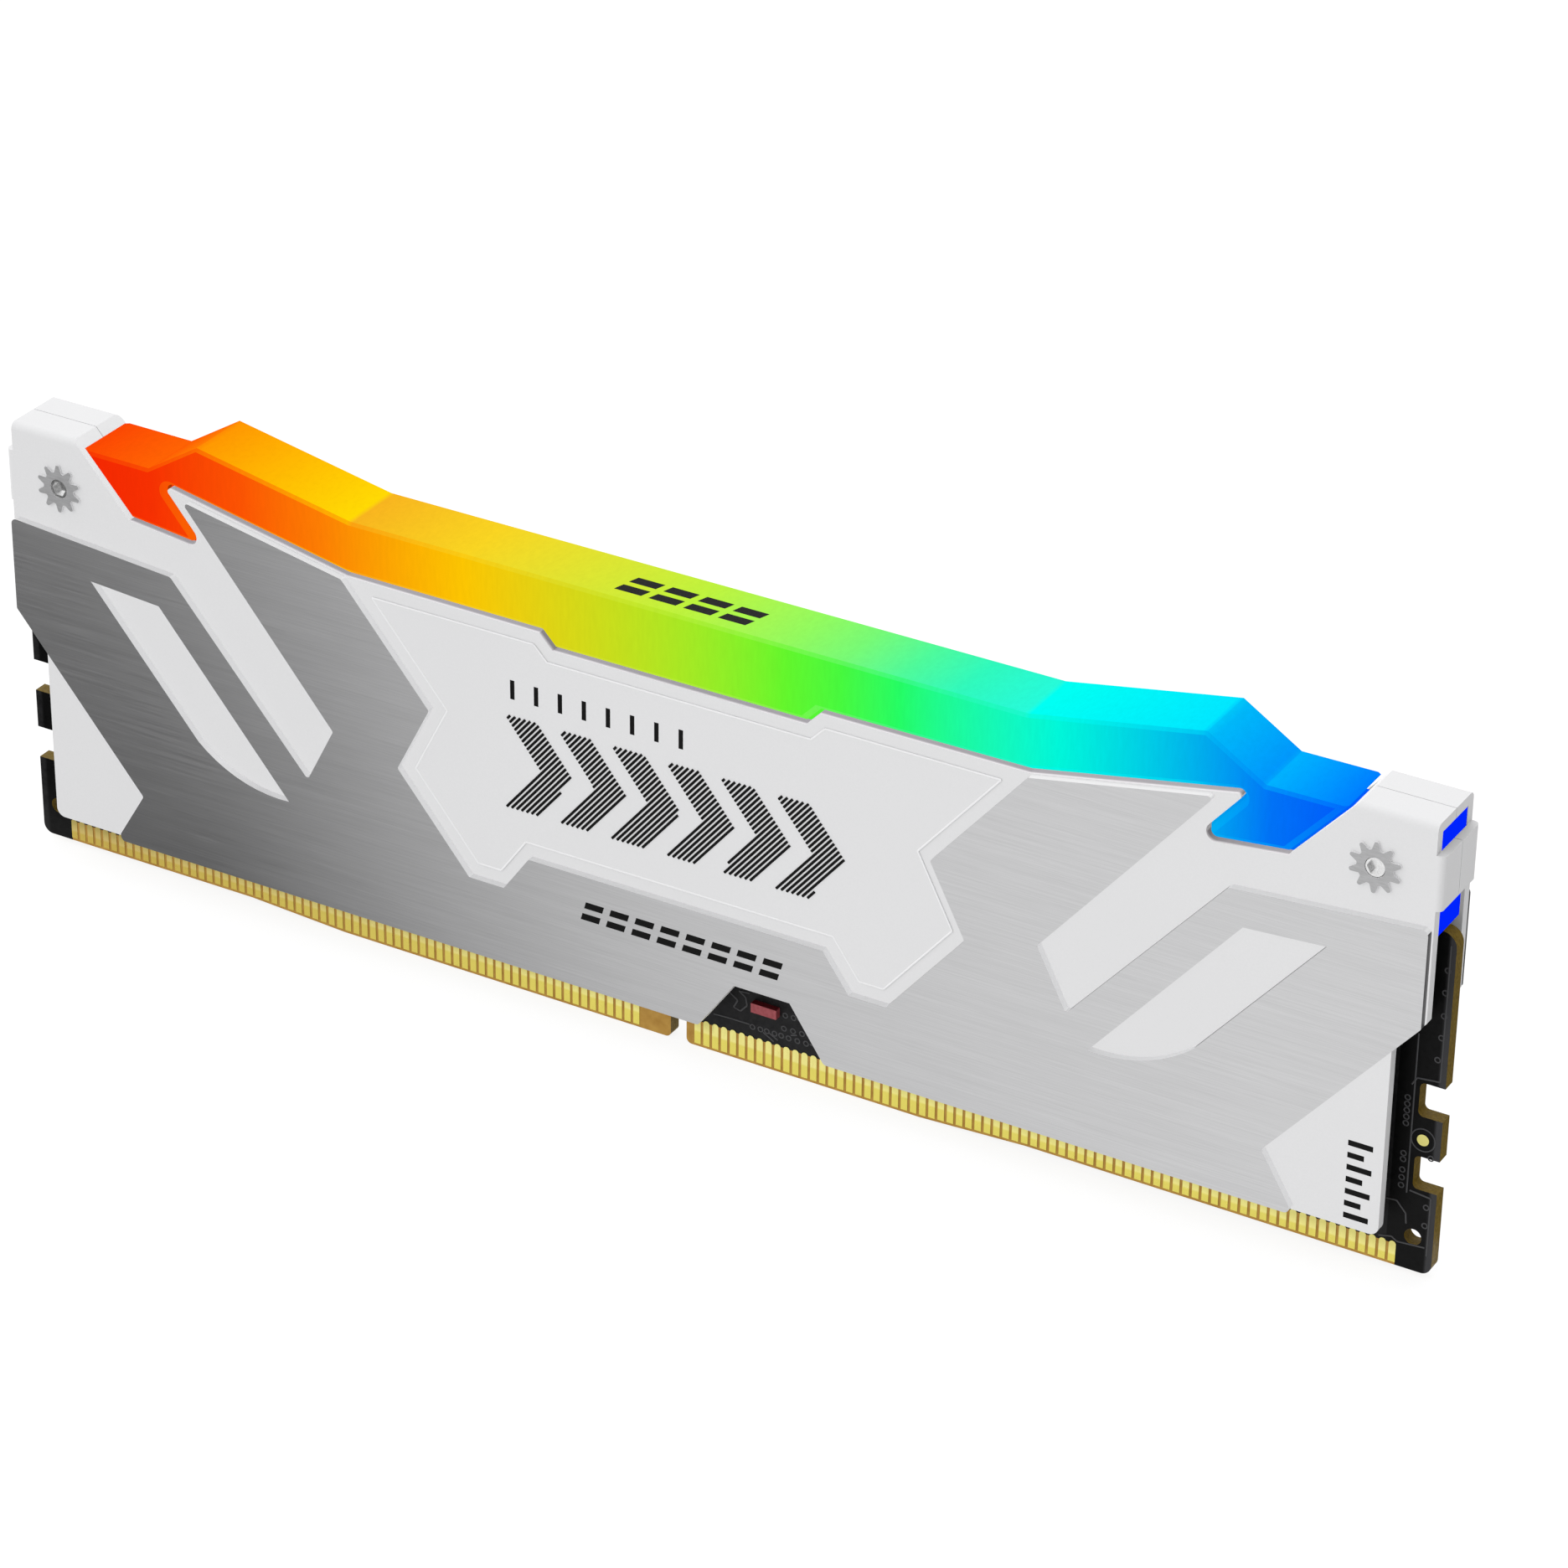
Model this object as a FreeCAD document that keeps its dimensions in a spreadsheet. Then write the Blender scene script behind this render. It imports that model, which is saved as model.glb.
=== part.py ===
"""Memory module with folded heat spreaders, a brushed plate on each side and a light bar.

Frame: the origin is the middle of the board's contact edge. +X runs along the board,
+Y through its thickness towards the back, and +Z up to the light bar. Millimetres.
"""
import FreeCAD, Part
import math
import os
import Sketcher

DIMENSIONS = {
    # board
    "board_half_length": 66.675, "board_height": 31.25, "board_thick": 1.27,
    "edge_step": 0.5, "left_ramp_outer": 44.4, "left_ramp_inner": 34.8,
    "right_ramp_inner": 21.4, "right_ramp_outer": 31.2,
    "key_left": 2.18, "key_right": 0.66, "key_depth": 4.0,
    "latch_depth": 2.075, "latch_low": 8.0, "latch_middle_low": 11.0,
    "latch_middle_high": 14.6, "latch_high": 17.6,
    "board_top_radius": 1.25, "board_foot_radius": 0.9, "key_radius": 0.5, "latch_radius": 0.45,
    "tooling_hole_x": 64.95, "tooling_hole_z": 3.55, "tooling_hole_dia": 1.45,
    # contacts
    "contact_pitch": 0.85, "contact_width": 0.6, "contact_thick": 0.04,
    "contact_top": 2.65, "contact_edge_gap": 0.25,
    "left_block_start": -63.325, "left_block_count": 69,
    "right_block_start": 0.425, "right_block_count": 75,
    # folded sheet
    "sheet_outer_y": 3.175, "sheet_thick": 0.9, "sheet_low": 4.4, "sheet_top": 41.55,
    "sheet_half_length": 65.75, "sheet_foot_x": 63.1,
    "sheet_knee_low": 21.3, "sheet_knee_high": 24.5,
    "sheet_foot_radius": 0.8, "sheet_bend_radius": 0.6,
    "cap_inner_x": 59.0, "cap_end_x": 65.5, "seam_half_gap": 0.03,
    "tab_outer_x": 66.2, "tab_low": 34.3, "tab_high": 39.0,
    "tab_radius": 0.5, "panel_inset": 1.2, "panel_height": 0.05,
    # brushed plate
    "plate_thick": 0.65, "plate_low": 4.35,
    "plate_heel_x": 56.2, "plate_waist_x": 53.15, "plate_waist_z": 9.4,
    "plate_end_x": 65.6, "plate_knee_z": 24.3, "plate_shoulder_z": 32.9,
    "wing_tip_x": 49.15, "wing_tip_z": 31.65,
    "channel_outer_x": 35.83, "channel_outer_z": 16.2,
    "channel_inner_x": 33.1, "channel_inner_z": 21.5,
    "horn_x": 47.65, "horn_z": 39.1, "brow_x": 31.8, "brow_z": 36.1,
    "window_upper_x": 23.45, "window_upper_z": 26.22, "window_side_x": 26.7, "window_side_z": 19.93,
    "window_foot_x": 19.8, "window_foot_z": 11.6, "window_toe_x": 16.4,
    "window_sill_x": 13.93, "window_sill_z": 15.03,
    "slot_outer_x": 57.5, "slot_outer_z": 29.02, "slot_inner_x": 50.5, "slot_inner_z": 28.55,
    "slot_tip_x": 37.85, "slot_tip_z": 13.45, "slot_bend_x": 47.0, "slot_bend_z": 16.6,
    "slot_belly_x": 43.45, "slot_belly_z": 14.36,
    "plate_radius": 0.5, "plate_small_radius": 0.25,
    # sensor window through the front plate and sheet
    "port_low_left": 2.35, "port_high_left": 5.72, "port_high_right": 10.95, "port_low_right": 14.2,
    "port_top": 9.15, "port_radius": 0.4, "port_flare_x": 1.0, "port_flare_z": 1.5,
    # light bar
    "bar_half_width": 3.3, "bar_end_x": 58.1, "bar_end_z": 40.9,
    "bar_heel_x": 53.5, "bar_heel_z": 35.75, "bar_toe_x": 46.2, "bar_toe_z": 34.95,
    "bar_notch_x": 50.5, "bar_notch_z": 40.05, "bar_shin_x": 31.6, "bar_shin_z": 36.4,
    "bar_step_x": 12.9, "bar_step_z": 36.3, "bar_keel_x": 11.65, "bar_keel_z": 35.0,
    "bar_valley_x": 51.4, "bar_valley_z": 40.85, "bar_peak_x": 46.35, "bar_peak_z": 44.0,
    "bar_kink_x": 31.25, "bar_kink_z": 41.2, "bar_gap": 0.25,
    "bar_top_bevel": 0.25, "bar_lip_bevel": 0.5, "bar_toe_radius": 0.55, "bar_notch_radius": 0.5,
    "bar_cavity_half_width": 2.25, "bar_cavity_top": 39.7, "cavity_overcut": 2.0,
    # light guide
    "guide_half_width": 2.25, "guide_end_x": 65.45, "guide_cap_top": 40.6,
    "guide_shoulder_x": 58.5, "guide_bore_dia": 3.6,
    # fasteners
    "screw_x": 60.73, "screw_z": 36.65, "screw_head_dia": 1.6, "screw_head_high": 0.55,
    "screw_shank_dia": 1.0, "screw_shank_long": 1.8, "screw_hex_flats": 1.2, "screw_hex_deep": 0.45,
    "sheet_recess_dia": 1.8, "sheet_recess_deep": 0.45, "sheet_hole_dia": 1.1, "standoff_dia": 3.2,
    "washer_thick": 0.175, "washer_root_radius": 1.5, "washer_tip_radius": 2.18,
    "washer_bore_dia": 1.7, "washer_teeth": 10, "tooth_start_radius": 1.35,
    "tooth_root_half": 0.38, "tooth_tip_half": 0.14, "tooth_round": 0.15,
    # parts on the board
    "dram_long": 10.0, "dram_tall": 11.0, "dram_thick": 1.1, "dram_pitch": 12.4,
    "dram_first_x": 12.0, "dram_middle_z": 19.5, "drams_each_side": 4,
    "pad_half_length": 56.0, "pad_low": 13.0, "pad_high": 26.0,
    "pmic_size": 5.0, "pmic_thick": 0.85, "pmic_z": 22.0, "inductor_size": 2.5,
    "inductor_thick": 1.0, "inductor_count": 3, "inductor_pitch": 3.2, "inductor_z": 27.8,
    "hub_long": 3.0, "hub_tall": 2.0, "hub_thick": 0.75, "hub_z": 16.6,
    "rgb_size": 4.0, "rgb_x": -20.0, "rgb_z": 29.2, "rgb_chip_tall": 3.0, "rgb_thick": 0.75,
    "led_long": 1.6, "led_tall": 0.8, "led_thick": 0.7,
    "led_count": 12, "led_pitch": 10.0, "led_z": 30.7,
    "passive_long": 1.0, "passive_tall": 0.5, "passive_thick": 0.5,
    "capacitor_count": 16, "capacitor_pitch": 7.0, "capacitor_z": 11.6,
    "resistor_count": 12, "resistor_pitch": 1.6, "resistor_x": 44.0, "resistor_z": 28.5,
    "sensor_long": 2.4, "sensor_tall": 0.87, "sensor_thick": 0.62, "sensor_x": 7.03, "sensor_z": 5.77,
    "fiducial_dia": 1.0, "fiducial_thick": 0.03, "fiducial_x": 65.18, "fiducial_z": 12.53,
}

SHEET_NAME = "dims"
TOLERANCE = 1e-4

doc = FreeCAD.newDocument("memory_module")
dims = doc.addObject("Spreadsheet::Sheet", SHEET_NAME)


class Size:
    """A length kept as a number together with the spreadsheet expression behind it."""

    def __init__(self, number, expression):
        self.number = number
        self.expression = expression

    def __neg__(self):
        return Size(-self.number, f"-({self.expression})")

    def __add__(self, other):
        other = as_size(other)
        return Size(self.number + other.number, f"({self.expression} + {other.expression})")

    def __sub__(self, other):
        other = as_size(other)
        return Size(self.number - other.number, f"({self.expression} - {other.expression})")

    def __mul__(self, factor):
        factor = as_size(factor)
        return Size(self.number * factor.number, f"({self.expression} * {factor.expression})")


def as_size(thing):
    """Turn a plain number into a Size."""
    return thing if isinstance(thing, Size) else Size(float(thing), f"{float(thing):.6f}")


def fill_sheet():
    """Write each driving dimension into the spreadsheet and return them as named sizes."""
    sizes = {}
    for row, (name, number) in enumerate(DIMENSIONS.items(), start=1):
        dims.set(f"A{row}", name)
        dims.set(f"B{row}", str(number))
        dims.setAlias(f"B{row}", name)
        sizes[name] = Size(float(number), f"{SHEET_NAME}.{name}")
    doc.recompute()
    return sizes


d = fill_sheet()
ZERO = as_size(0.0)


def corner(x_name, z_name):
    """Return the corner at two named dimensions."""
    return (d[x_name], d[z_name])


def mirrored(corners):
    """Close a half outline, listed from the middle outwards, with its mirror image in X."""
    other_half = [(-x, z) for x, z in reversed(corners) if abs(x.number) > TOLERANCE]
    return list(corners) + other_half


def new_body(label):
    """Add an empty body whose label names its file."""
    body = doc.addObject("PartDesign::Body", label)
    body.Label = label
    body.Placement = FreeCAD.Placement()
    return body


def front_plane(body):
    """Find a body's own XZ plane; its normal points to -Y."""
    return next(item for item in body.Origin.OriginFeatures if item.Role == "XZ_Plane")


def new_sketch(body, name, depth):
    """Add a sketch parallel to XZ, lying at y = -depth."""
    sketch = body.newObject("Sketcher::SketchObject", name)
    sketch.AttachmentSupport = [(front_plane(body), "")]
    sketch.MapMode = "FlatFace"
    sketch.AttachmentOffset = FreeCAD.Placement(FreeCAD.Vector(0, 0, depth.number), FreeCAD.Rotation())
    sketch.setExpression("AttachmentOffset.Base.z", depth.expression)
    return sketch


def pin_point(sketch, edge, end, x, z):
    """Hold one end of a sketch edge at a place given by two sizes."""
    if abs(x.number) < TOLERANCE:
        sketch.addConstraint(Sketcher.Constraint("PointOnObject", edge, end, -2))
    else:
        index = sketch.addConstraint(Sketcher.Constraint("DistanceX", -1, 1, edge, end, x.number))
        sketch.setExpression(f"Constraints[{index}]", x.expression)
    if abs(z.number) < TOLERANCE:
        sketch.addConstraint(Sketcher.Constraint("PointOnObject", edge, end, -1))
    else:
        index = sketch.addConstraint(Sketcher.Constraint("DistanceY", -1, 1, edge, end, z.number))
        sketch.setExpression(f"Constraints[{index}]", z.expression)


def add_polygon(sketch, corners):
    """Draw a closed polygon with every corner held by its sizes."""
    points = [FreeCAD.Vector(x.number, z.number, 0) for x, z in corners]
    first = sketch.GeometryCount
    count = len(points)
    for k in range(count):
        sketch.addGeometry(Part.LineSegment(points[k], points[(k + 1) % count]))
    for k in range(count):
        follower = first + (k + 1) % count
        sketch.addConstraint(Sketcher.Constraint("Coincident", first + k, 2, follower, 1))
    for k, (x, z) in enumerate(corners):
        pin_point(sketch, first + k, 1, x, z)


def add_circle(sketch, x, z, diameter):
    """Draw a circle with its middle and diameter held by sizes."""
    middle = FreeCAD.Vector(x.number, z.number, 0)
    edge = sketch.addGeometry(Part.Circle(middle, FreeCAD.Vector(0, 0, 1), diameter.number / 2))
    pin_point(sketch, edge, 3, x, z)
    index = sketch.addConstraint(Sketcher.Constraint("Diameter", edge, diameter.number))
    sketch.setExpression(f"Constraints[{index}]", diameter.expression)


def add_pad(body, sketch, length, centred=False):
    """Pad a sketch away from y = 0, towards -Y, or evenly to both sides."""
    pad = body.newObject("PartDesign::Pad", f"{sketch.Name}_pad")
    pad.Profile = sketch
    if centred:
        pad.SideType = "Symmetric"
    pad.Length = length.number
    pad.setExpression("Length", length.expression)
    doc.recompute()
    return pad


def add_pocket(body, sketch, length=None, centred=False):
    """Cut a sketch right through, towards -Y or evenly to both sides, and prove that it cut."""
    before = body.Shape.Volume
    pocket = body.newObject("PartDesign::Pocket", f"{sketch.Name}_pocket")
    pocket.Profile = sketch
    if length is None or centred:
        pocket.SideType = "Symmetric"
    if length is None:
        pocket.Type = "ThroughAll"
    else:
        pocket.Reversed = not centred
        pocket.Length = length.number
        pocket.setExpression("Length", length.expression)
    doc.recompute()
    if body.Shape.Volume > before - TOLERANCE:
        raise RuntimeError(f"{pocket.Name} in {body.Label} cut nothing")
    return pocket


def edges_through(shape, corners):
    """Name the edges parallel to Y that pass through the given corners."""
    names = []
    for number, edge in enumerate(shape.Edges, start=1):
        box = edge.BoundBox
        if box.XLength > TOLERANCE or box.ZLength > TOLERANCE:
            continue
        for x, z in corners:
            if abs(box.XMin - x.number) < TOLERANCE and abs(box.ZMin - z.number) < TOLERANCE:
                names.append(f"Edge{number}")
                break
    return names


def add_fillet(body, names, radius):
    """Round the named edges of a body's last feature."""
    last = body.Tip
    fillet = body.newObject("PartDesign::Fillet", f"{body.Label}_round")
    fillet.Base = (last, names)
    fillet.Radius = radius.number
    fillet.setExpression("Radius", radius.expression)
    body.Tip = fillet
    doc.recompute()
    return fillet


def round_corners(body, corners, radius):
    """Round the edges parallel to Y at the given corners and at their mirror images."""
    both_sides = [(x, z) for x, z in corners] + [(-x, z) for x, z in corners]
    add_fillet(body, edges_through(body.Shape, both_sides), radius)


def outward(side, depth, thickness):
    """Return the sketch depth of a layer so that its pad grows to the right side of the board."""
    return depth if side > 0 else -(depth + thickness)


def mitre_factors(path):
    """Return, for the inner corners of a path, the shift per unit of gap to the path's right."""
    factors = []
    for before, here, after in zip(path, path[1:], path[2:]):
        normals = []
        for start, end in ((before, here), (here, after)):
            run = FreeCAD.Vector(end[0].number - start[0].number, end[1].number - start[1].number, 0)
            run.normalize()
            normals.append(FreeCAD.Vector(run.y, -run.x, 0))
        total = normals[0] + normals[1]
        scale = 1.0 / (1.0 + normals[0].dot(normals[1]))
        factors.append((total.x * scale, total.y * scale))
    return factors


def offset_corners(path, gap):
    """Shift the inner corners of a path by a gap to its right, with mitred corners."""
    shifted = []
    for (x, z), (along_x, along_z) in zip(path[1:-1], mitre_factors(path)):
        shifted.append((x + gap * along_x, z + gap * along_z))
    return shifted


SIDES = {"front": 1, "back": -1}
ENDS = {"left": -1, "right": 1}

SHEET_INNER_Y = d["sheet_outer_y"] - d["sheet_thick"]
BOARD_HALF_THICK = d["board_thick"] * 0.5

# Lower outline of the light bar, from its end at the cap to its keel in the middle.
BAR_OUTLINE = [
    corner("bar_end_x", "bar_end_z"),
    corner("bar_heel_x", "bar_heel_z"),
    corner("bar_toe_x", "bar_toe_z"),
    corner("bar_notch_x", "bar_notch_z"),
    corner("bar_shin_x", "bar_shin_z"),
    corner("bar_step_x", "bar_step_z"),
    corner("bar_keel_x", "bar_keel_z"),
]
KEEL_MIDDLE = (ZERO, d["bar_keel_z"])

# The plate's open window over the middle of the sheet, from its brow down to its sill.
WINDOW_OUTLINE = [
    corner("brow_x", "brow_z"),
    corner("window_upper_x", "window_upper_z"),
    corner("window_side_x", "window_side_z"),
    corner("window_foot_x", "window_foot_z"),
    corner("window_toe_x", "window_foot_z"),
    corner("window_sill_x", "window_sill_z"),
]


def port_corners(bottom):
    """Corners of the sensor port, which opens through an edge at its bottom."""
    below = bottom - d["port_flare_z"]
    return [
        (d["port_low_left"] - d["port_flare_x"], below),
        (d["port_low_left"], bottom),
        (d["port_high_left"], d["port_top"]),
        (d["port_high_right"], d["port_top"]),
        (d["port_low_right"], bottom),
        (d["port_low_right"] + d["port_flare_x"], below),
    ]


def build_board():
    """Board with its stepped contact edge, key notch, latch notches and tooling holes."""
    end_x = d["board_half_length"]
    notch_x = end_x - d["latch_depth"]
    notches = [
        (end_x, d["latch_low"]), (notch_x, d["latch_low"]),
        (notch_x, d["latch_middle_low"]), (end_x, d["latch_middle_low"]),
        (end_x, d["latch_middle_high"]), (notch_x, d["latch_middle_high"]),
        (notch_x, d["latch_high"]), (end_x, d["latch_high"]),
    ]
    right_side = [(end_x, d["edge_step"])] + notches + [(end_x, d["board_height"])]
    left_side = [(-x, z) for x, z in reversed(right_side)]
    bottom = [
        (-d["left_ramp_outer"], d["edge_step"]),
        (-d["left_ramp_inner"], ZERO),
        (-d["key_left"], ZERO),
        (-d["key_left"], d["key_depth"]),
        (-d["key_right"], d["key_depth"]),
        (-d["key_right"], ZERO),
        (d["right_ramp_inner"], ZERO),
        (d["right_ramp_outer"], d["edge_step"]),
    ]
    body = new_body("pcb")
    sketch = new_sketch(body, "board_outline", ZERO)
    add_polygon(sketch, bottom + right_side + left_side)
    add_circle(sketch, d["tooling_hole_x"], d["tooling_hole_z"], d["tooling_hole_dia"])
    add_circle(sketch, -d["tooling_hole_x"], d["tooling_hole_z"], d["tooling_hole_dia"])
    add_pad(body, sketch, d["board_thick"], centred=True)
    round_corners(body, [(end_x, d["board_height"])], d["board_top_radius"])
    round_corners(body, [(end_x, d["edge_step"])], d["board_foot_radius"])
    round_corners(body, [(-d["key_left"], ZERO), (-d["key_right"], ZERO)], d["key_radius"])
    inner_corners = [(x, z) for x, z in notches if x is notch_x]
    round_corners(body, inner_corners, d["latch_radius"])
    return body


def board_edge_height(x):
    """Height of the board's stepped lower edge at a place along it."""
    if x < 0:
        start, end = d["left_ramp_inner"].number, d["left_ramp_outer"].number
    else:
        start, end = d["right_ramp_inner"].number, d["right_ramp_outer"].number
    share = (abs(x) - start) / (end - start)
    return d["edge_step"].number * min(max(share, 0.0), 1.0)


def contact_solid(x, side):
    """One gold pad with a round top, on one face of the board."""
    half = d["contact_width"].number / 2
    low = board_edge_height(x) + d["contact_edge_gap"].number
    crown = d["contact_top"].number
    y = -side * BOARD_HALF_THICK.number
    shoulder = crown - half
    places = {
        "low_left": FreeCAD.Vector(x - half, y, low),
        "low_right": FreeCAD.Vector(x + half, y, low),
        "high_right": FreeCAD.Vector(x + half, y, shoulder),
        "high_left": FreeCAD.Vector(x - half, y, shoulder),
    }
    edges = [
        Part.LineSegment(places["low_left"], places["low_right"]),
        Part.LineSegment(places["low_right"], places["high_right"]),
        Part.Arc(places["high_right"], FreeCAD.Vector(x, y, crown), places["high_left"]),
        Part.LineSegment(places["high_left"], places["low_left"]),
    ]
    face = Part.Face(Part.Wire([edge.toShape() for edge in edges]))
    return face.extrude(FreeCAD.Vector(0, -side * d["contact_thick"].number, 0))


def build_contacts(name, side):
    """Two rows of pads on one face, parted by the key notch."""
    middles = []
    for block in ("left", "right"):
        start = d[f"{block}_block_start"].number
        count = int(d[f"{block}_block_count"].number)
        middles += [start + k * d["contact_pitch"].number for k in range(count)]
    return group_feature(name, [contact_solid(x, side) for x in middles])


def group_feature(name, solids):
    """Keep several like solids as one sub-part."""
    feature = doc.addObject("Part::Feature", name)
    feature.Label = name
    feature.Shape = Part.Compound(solids)
    feature.Placement = FreeCAD.Placement()
    return feature


def sheet_corners():
    """Right half of the folded sheet's outline, from its lower middle round to the bar's keel."""
    bar_side = offset_corners(BAR_OUTLINE + [KEEL_MIDDLE], -d["bar_gap"])
    return [
        (d["sheet_foot_x"], d["sheet_low"]),
        (d["sheet_foot_x"], d["sheet_knee_low"]),
        (d["sheet_half_length"], d["sheet_knee_high"]),
        (d["sheet_half_length"], d["tab_low"]),
        (d["cap_end_x"], d["tab_low"]),
        (d["cap_end_x"], d["sheet_top"]),
        (d["cap_inner_x"], d["sheet_top"]),
    ] + bar_side


def cap_inner_x_at(z):
    """Place along the board of the cap's slanted inner end, at a height."""
    top, heel = sheet_corners()[6:8]
    lean = (top[0].number - heel[0].number) / (top[1].number - heel[1].number)
    return top[0] - (top[1] - z) * lean


def panel_corners():
    """Right half of the raised panel inside the plate's window."""
    inset = d["panel_inset"]
    under_bar = offset_corners(BAR_OUTLINE[4:] + [KEEL_MIDDLE], -(d["bar_gap"] + inset))
    sides = offset_corners(WINDOW_OUTLINE + [(ZERO, d["window_sill_z"])], inset)
    rise = (d["brow_z"].number - d["window_upper_z"].number)
    lean = (d["brow_x"].number - d["window_upper_x"].number) / rise
    head_z = under_bar[0][1]
    head_x = sides[0][0] + (head_z - sides[0][1]) * lean
    return list(reversed(under_bar)) + [(head_x, head_z)] + sides


def build_spreader(name, side):
    """Folded sheet: wall, the flanges of the two caps, the end tabs and the raised panel."""
    body = new_body(name)
    prefix = name.split("_")[0]
    outline = mirrored(sheet_corners())
    wall = new_sketch(body, f"{prefix}_wall", outward(side, SHEET_INNER_Y, d["sheet_thick"]))
    add_polygon(wall, outline)
    add_pad(body, wall, d["sheet_thick"])

    flange_reach = d["sheet_outer_y"] - d["seam_half_gap"]
    flange_depth = outward(side, d["seam_half_gap"], flange_reach)
    flange_low = d["sheet_top"] - d["sheet_thick"]
    flange = [
        (d["cap_end_x"], flange_low), (d["cap_end_x"], d["sheet_top"]),
        (d["cap_inner_x"], d["sheet_top"]), (cap_inner_x_at(flange_low), flange_low),
    ]
    tab = [
        (d["cap_end_x"], d["tab_low"]), (d["tab_outer_x"], d["tab_low"]),
        (d["tab_outer_x"], d["tab_high"]), (d["cap_end_x"], d["tab_high"]),
    ]
    for label, corners in (("flange", flange), ("tab", tab)):
        for end, sign in ENDS.items():
            sketch = new_sketch(body, f"{prefix}_{label}_{end}", flange_depth)
            add_polygon(sketch, [(x * sign, z) for x, z in corners])
            add_pad(body, sketch, flange_reach)

    round_corners(body, [(d["sheet_foot_x"], d["sheet_low"])], d["sheet_foot_radius"])
    toe, notch = offset_corners(BAR_OUTLINE, -d["bar_gap"])[1:3]
    round_corners(body, [toe], d["bar_toe_radius"] + d["bar_gap"])
    round_corners(body, [notch], d["bar_notch_radius"] - d["bar_gap"])
    round_bends(body, side)

    panel = new_sketch(body, f"{prefix}_panel", outward(side, d["sheet_outer_y"], d["panel_height"]))
    add_polygon(panel, mirrored(panel_corners()))
    add_pad(body, panel, d["panel_height"])

    holes = new_sketch(body, f"{prefix}_screw_holes", ZERO)
    recess_deep = d["sheet_recess_deep"]
    recess_depth = outward(side, d["sheet_outer_y"] - recess_deep, recess_deep)
    recesses = new_sketch(body, f"{prefix}_recesses", recess_depth)
    for sign in ENDS.values():
        add_circle(holes, d["screw_x"] * sign, d["screw_z"], d["sheet_hole_dia"])
        add_circle(recesses, d["screw_x"] * sign, d["screw_z"], d["sheet_recess_dia"])
    add_pocket(body, holes)
    add_pocket(body, recesses, recess_deep)

    if side > 0:
        port = new_sketch(body, f"{prefix}_port", ZERO)
        add_polygon(port, port_corners(d["sheet_low"]))
        add_pocket(body, port)
    return body


def round_bends(body, side):
    """Round the folds along the top of the caps and down the end tabs."""
    face_y = -side * d["sheet_outer_y"].number
    top = d["sheet_top"].number
    add_fillet(body, edges_on_face(body.Shape, face_y, "Z", top), d["sheet_bend_radius"])
    add_fillet(body, edges_on_face(body.Shape, face_y, "X", d["tab_outer_x"].number), d["tab_radius"])


def edges_on_face(shape, face_y, axis, reach):
    """Name the straight edges at a face's y that lie wholly at +reach or -reach along an axis."""
    names = []
    for number, edge in enumerate(shape.Edges, start=1):
        box = edge.BoundBox
        low = getattr(box, f"{axis}Min")
        span = getattr(box, f"{axis}Length")
        on_face = abs(box.YMin - face_y) < TOLERANCE and box.YLength < TOLERANCE
        if on_face and span < TOLERANCE and abs(abs(low) - reach) < TOLERANCE:
            names.append(f"Edge{number}")
    return names


def build_plate(name, side):
    """Brushed plate with its window, diagonal channels, slots and, in front, the sensor port."""
    body = new_body(name)
    prefix = name.split("_")[0]
    depth = outward(side, d["sheet_outer_y"], d["plate_thick"])
    rim = [
        corner("plate_heel_x", "plate_low"),
        corner("plate_waist_x", "plate_waist_z"),
        corner("plate_end_x", "plate_knee_z"),
        corner("plate_end_x", "plate_shoulder_z"),
        corner("wing_tip_x", "wing_tip_z"),
        corner("channel_outer_x", "channel_outer_z"),
        corner("channel_inner_x", "channel_inner_z"),
        corner("horn_x", "horn_z"),
    ]
    outline = new_sketch(body, f"{prefix}_plate_outline", depth)
    add_polygon(outline, mirrored(rim + WINDOW_OUTLINE))
    add_pad(body, outline, d["plate_thick"])

    for end, sign in ENDS.items():
        slot = new_sketch(body, f"{prefix}_slot_{end}", depth)
        add_slot(slot, sign)
        add_pocket(body, slot)
    if side > 0:
        port = new_sketch(body, f"{prefix}_plate_port", depth)
        add_polygon(port, port_corners(d["plate_low"]))
        add_pocket(body, port)
        port_feet = [(d["port_low_left"], d["plate_low"]), (d["port_low_right"], d["plate_low"])]
        add_fillet(body, edges_through(body.Shape, port_feet), d["port_radius"])
    round_corners(body, [rim[0], rim[3], rim[4]], d["plate_radius"])
    round_corners(body, [rim[1], rim[2]] + rim[5:] + WINDOW_OUTLINE[:4], d["plate_small_radius"])
    return body


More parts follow.
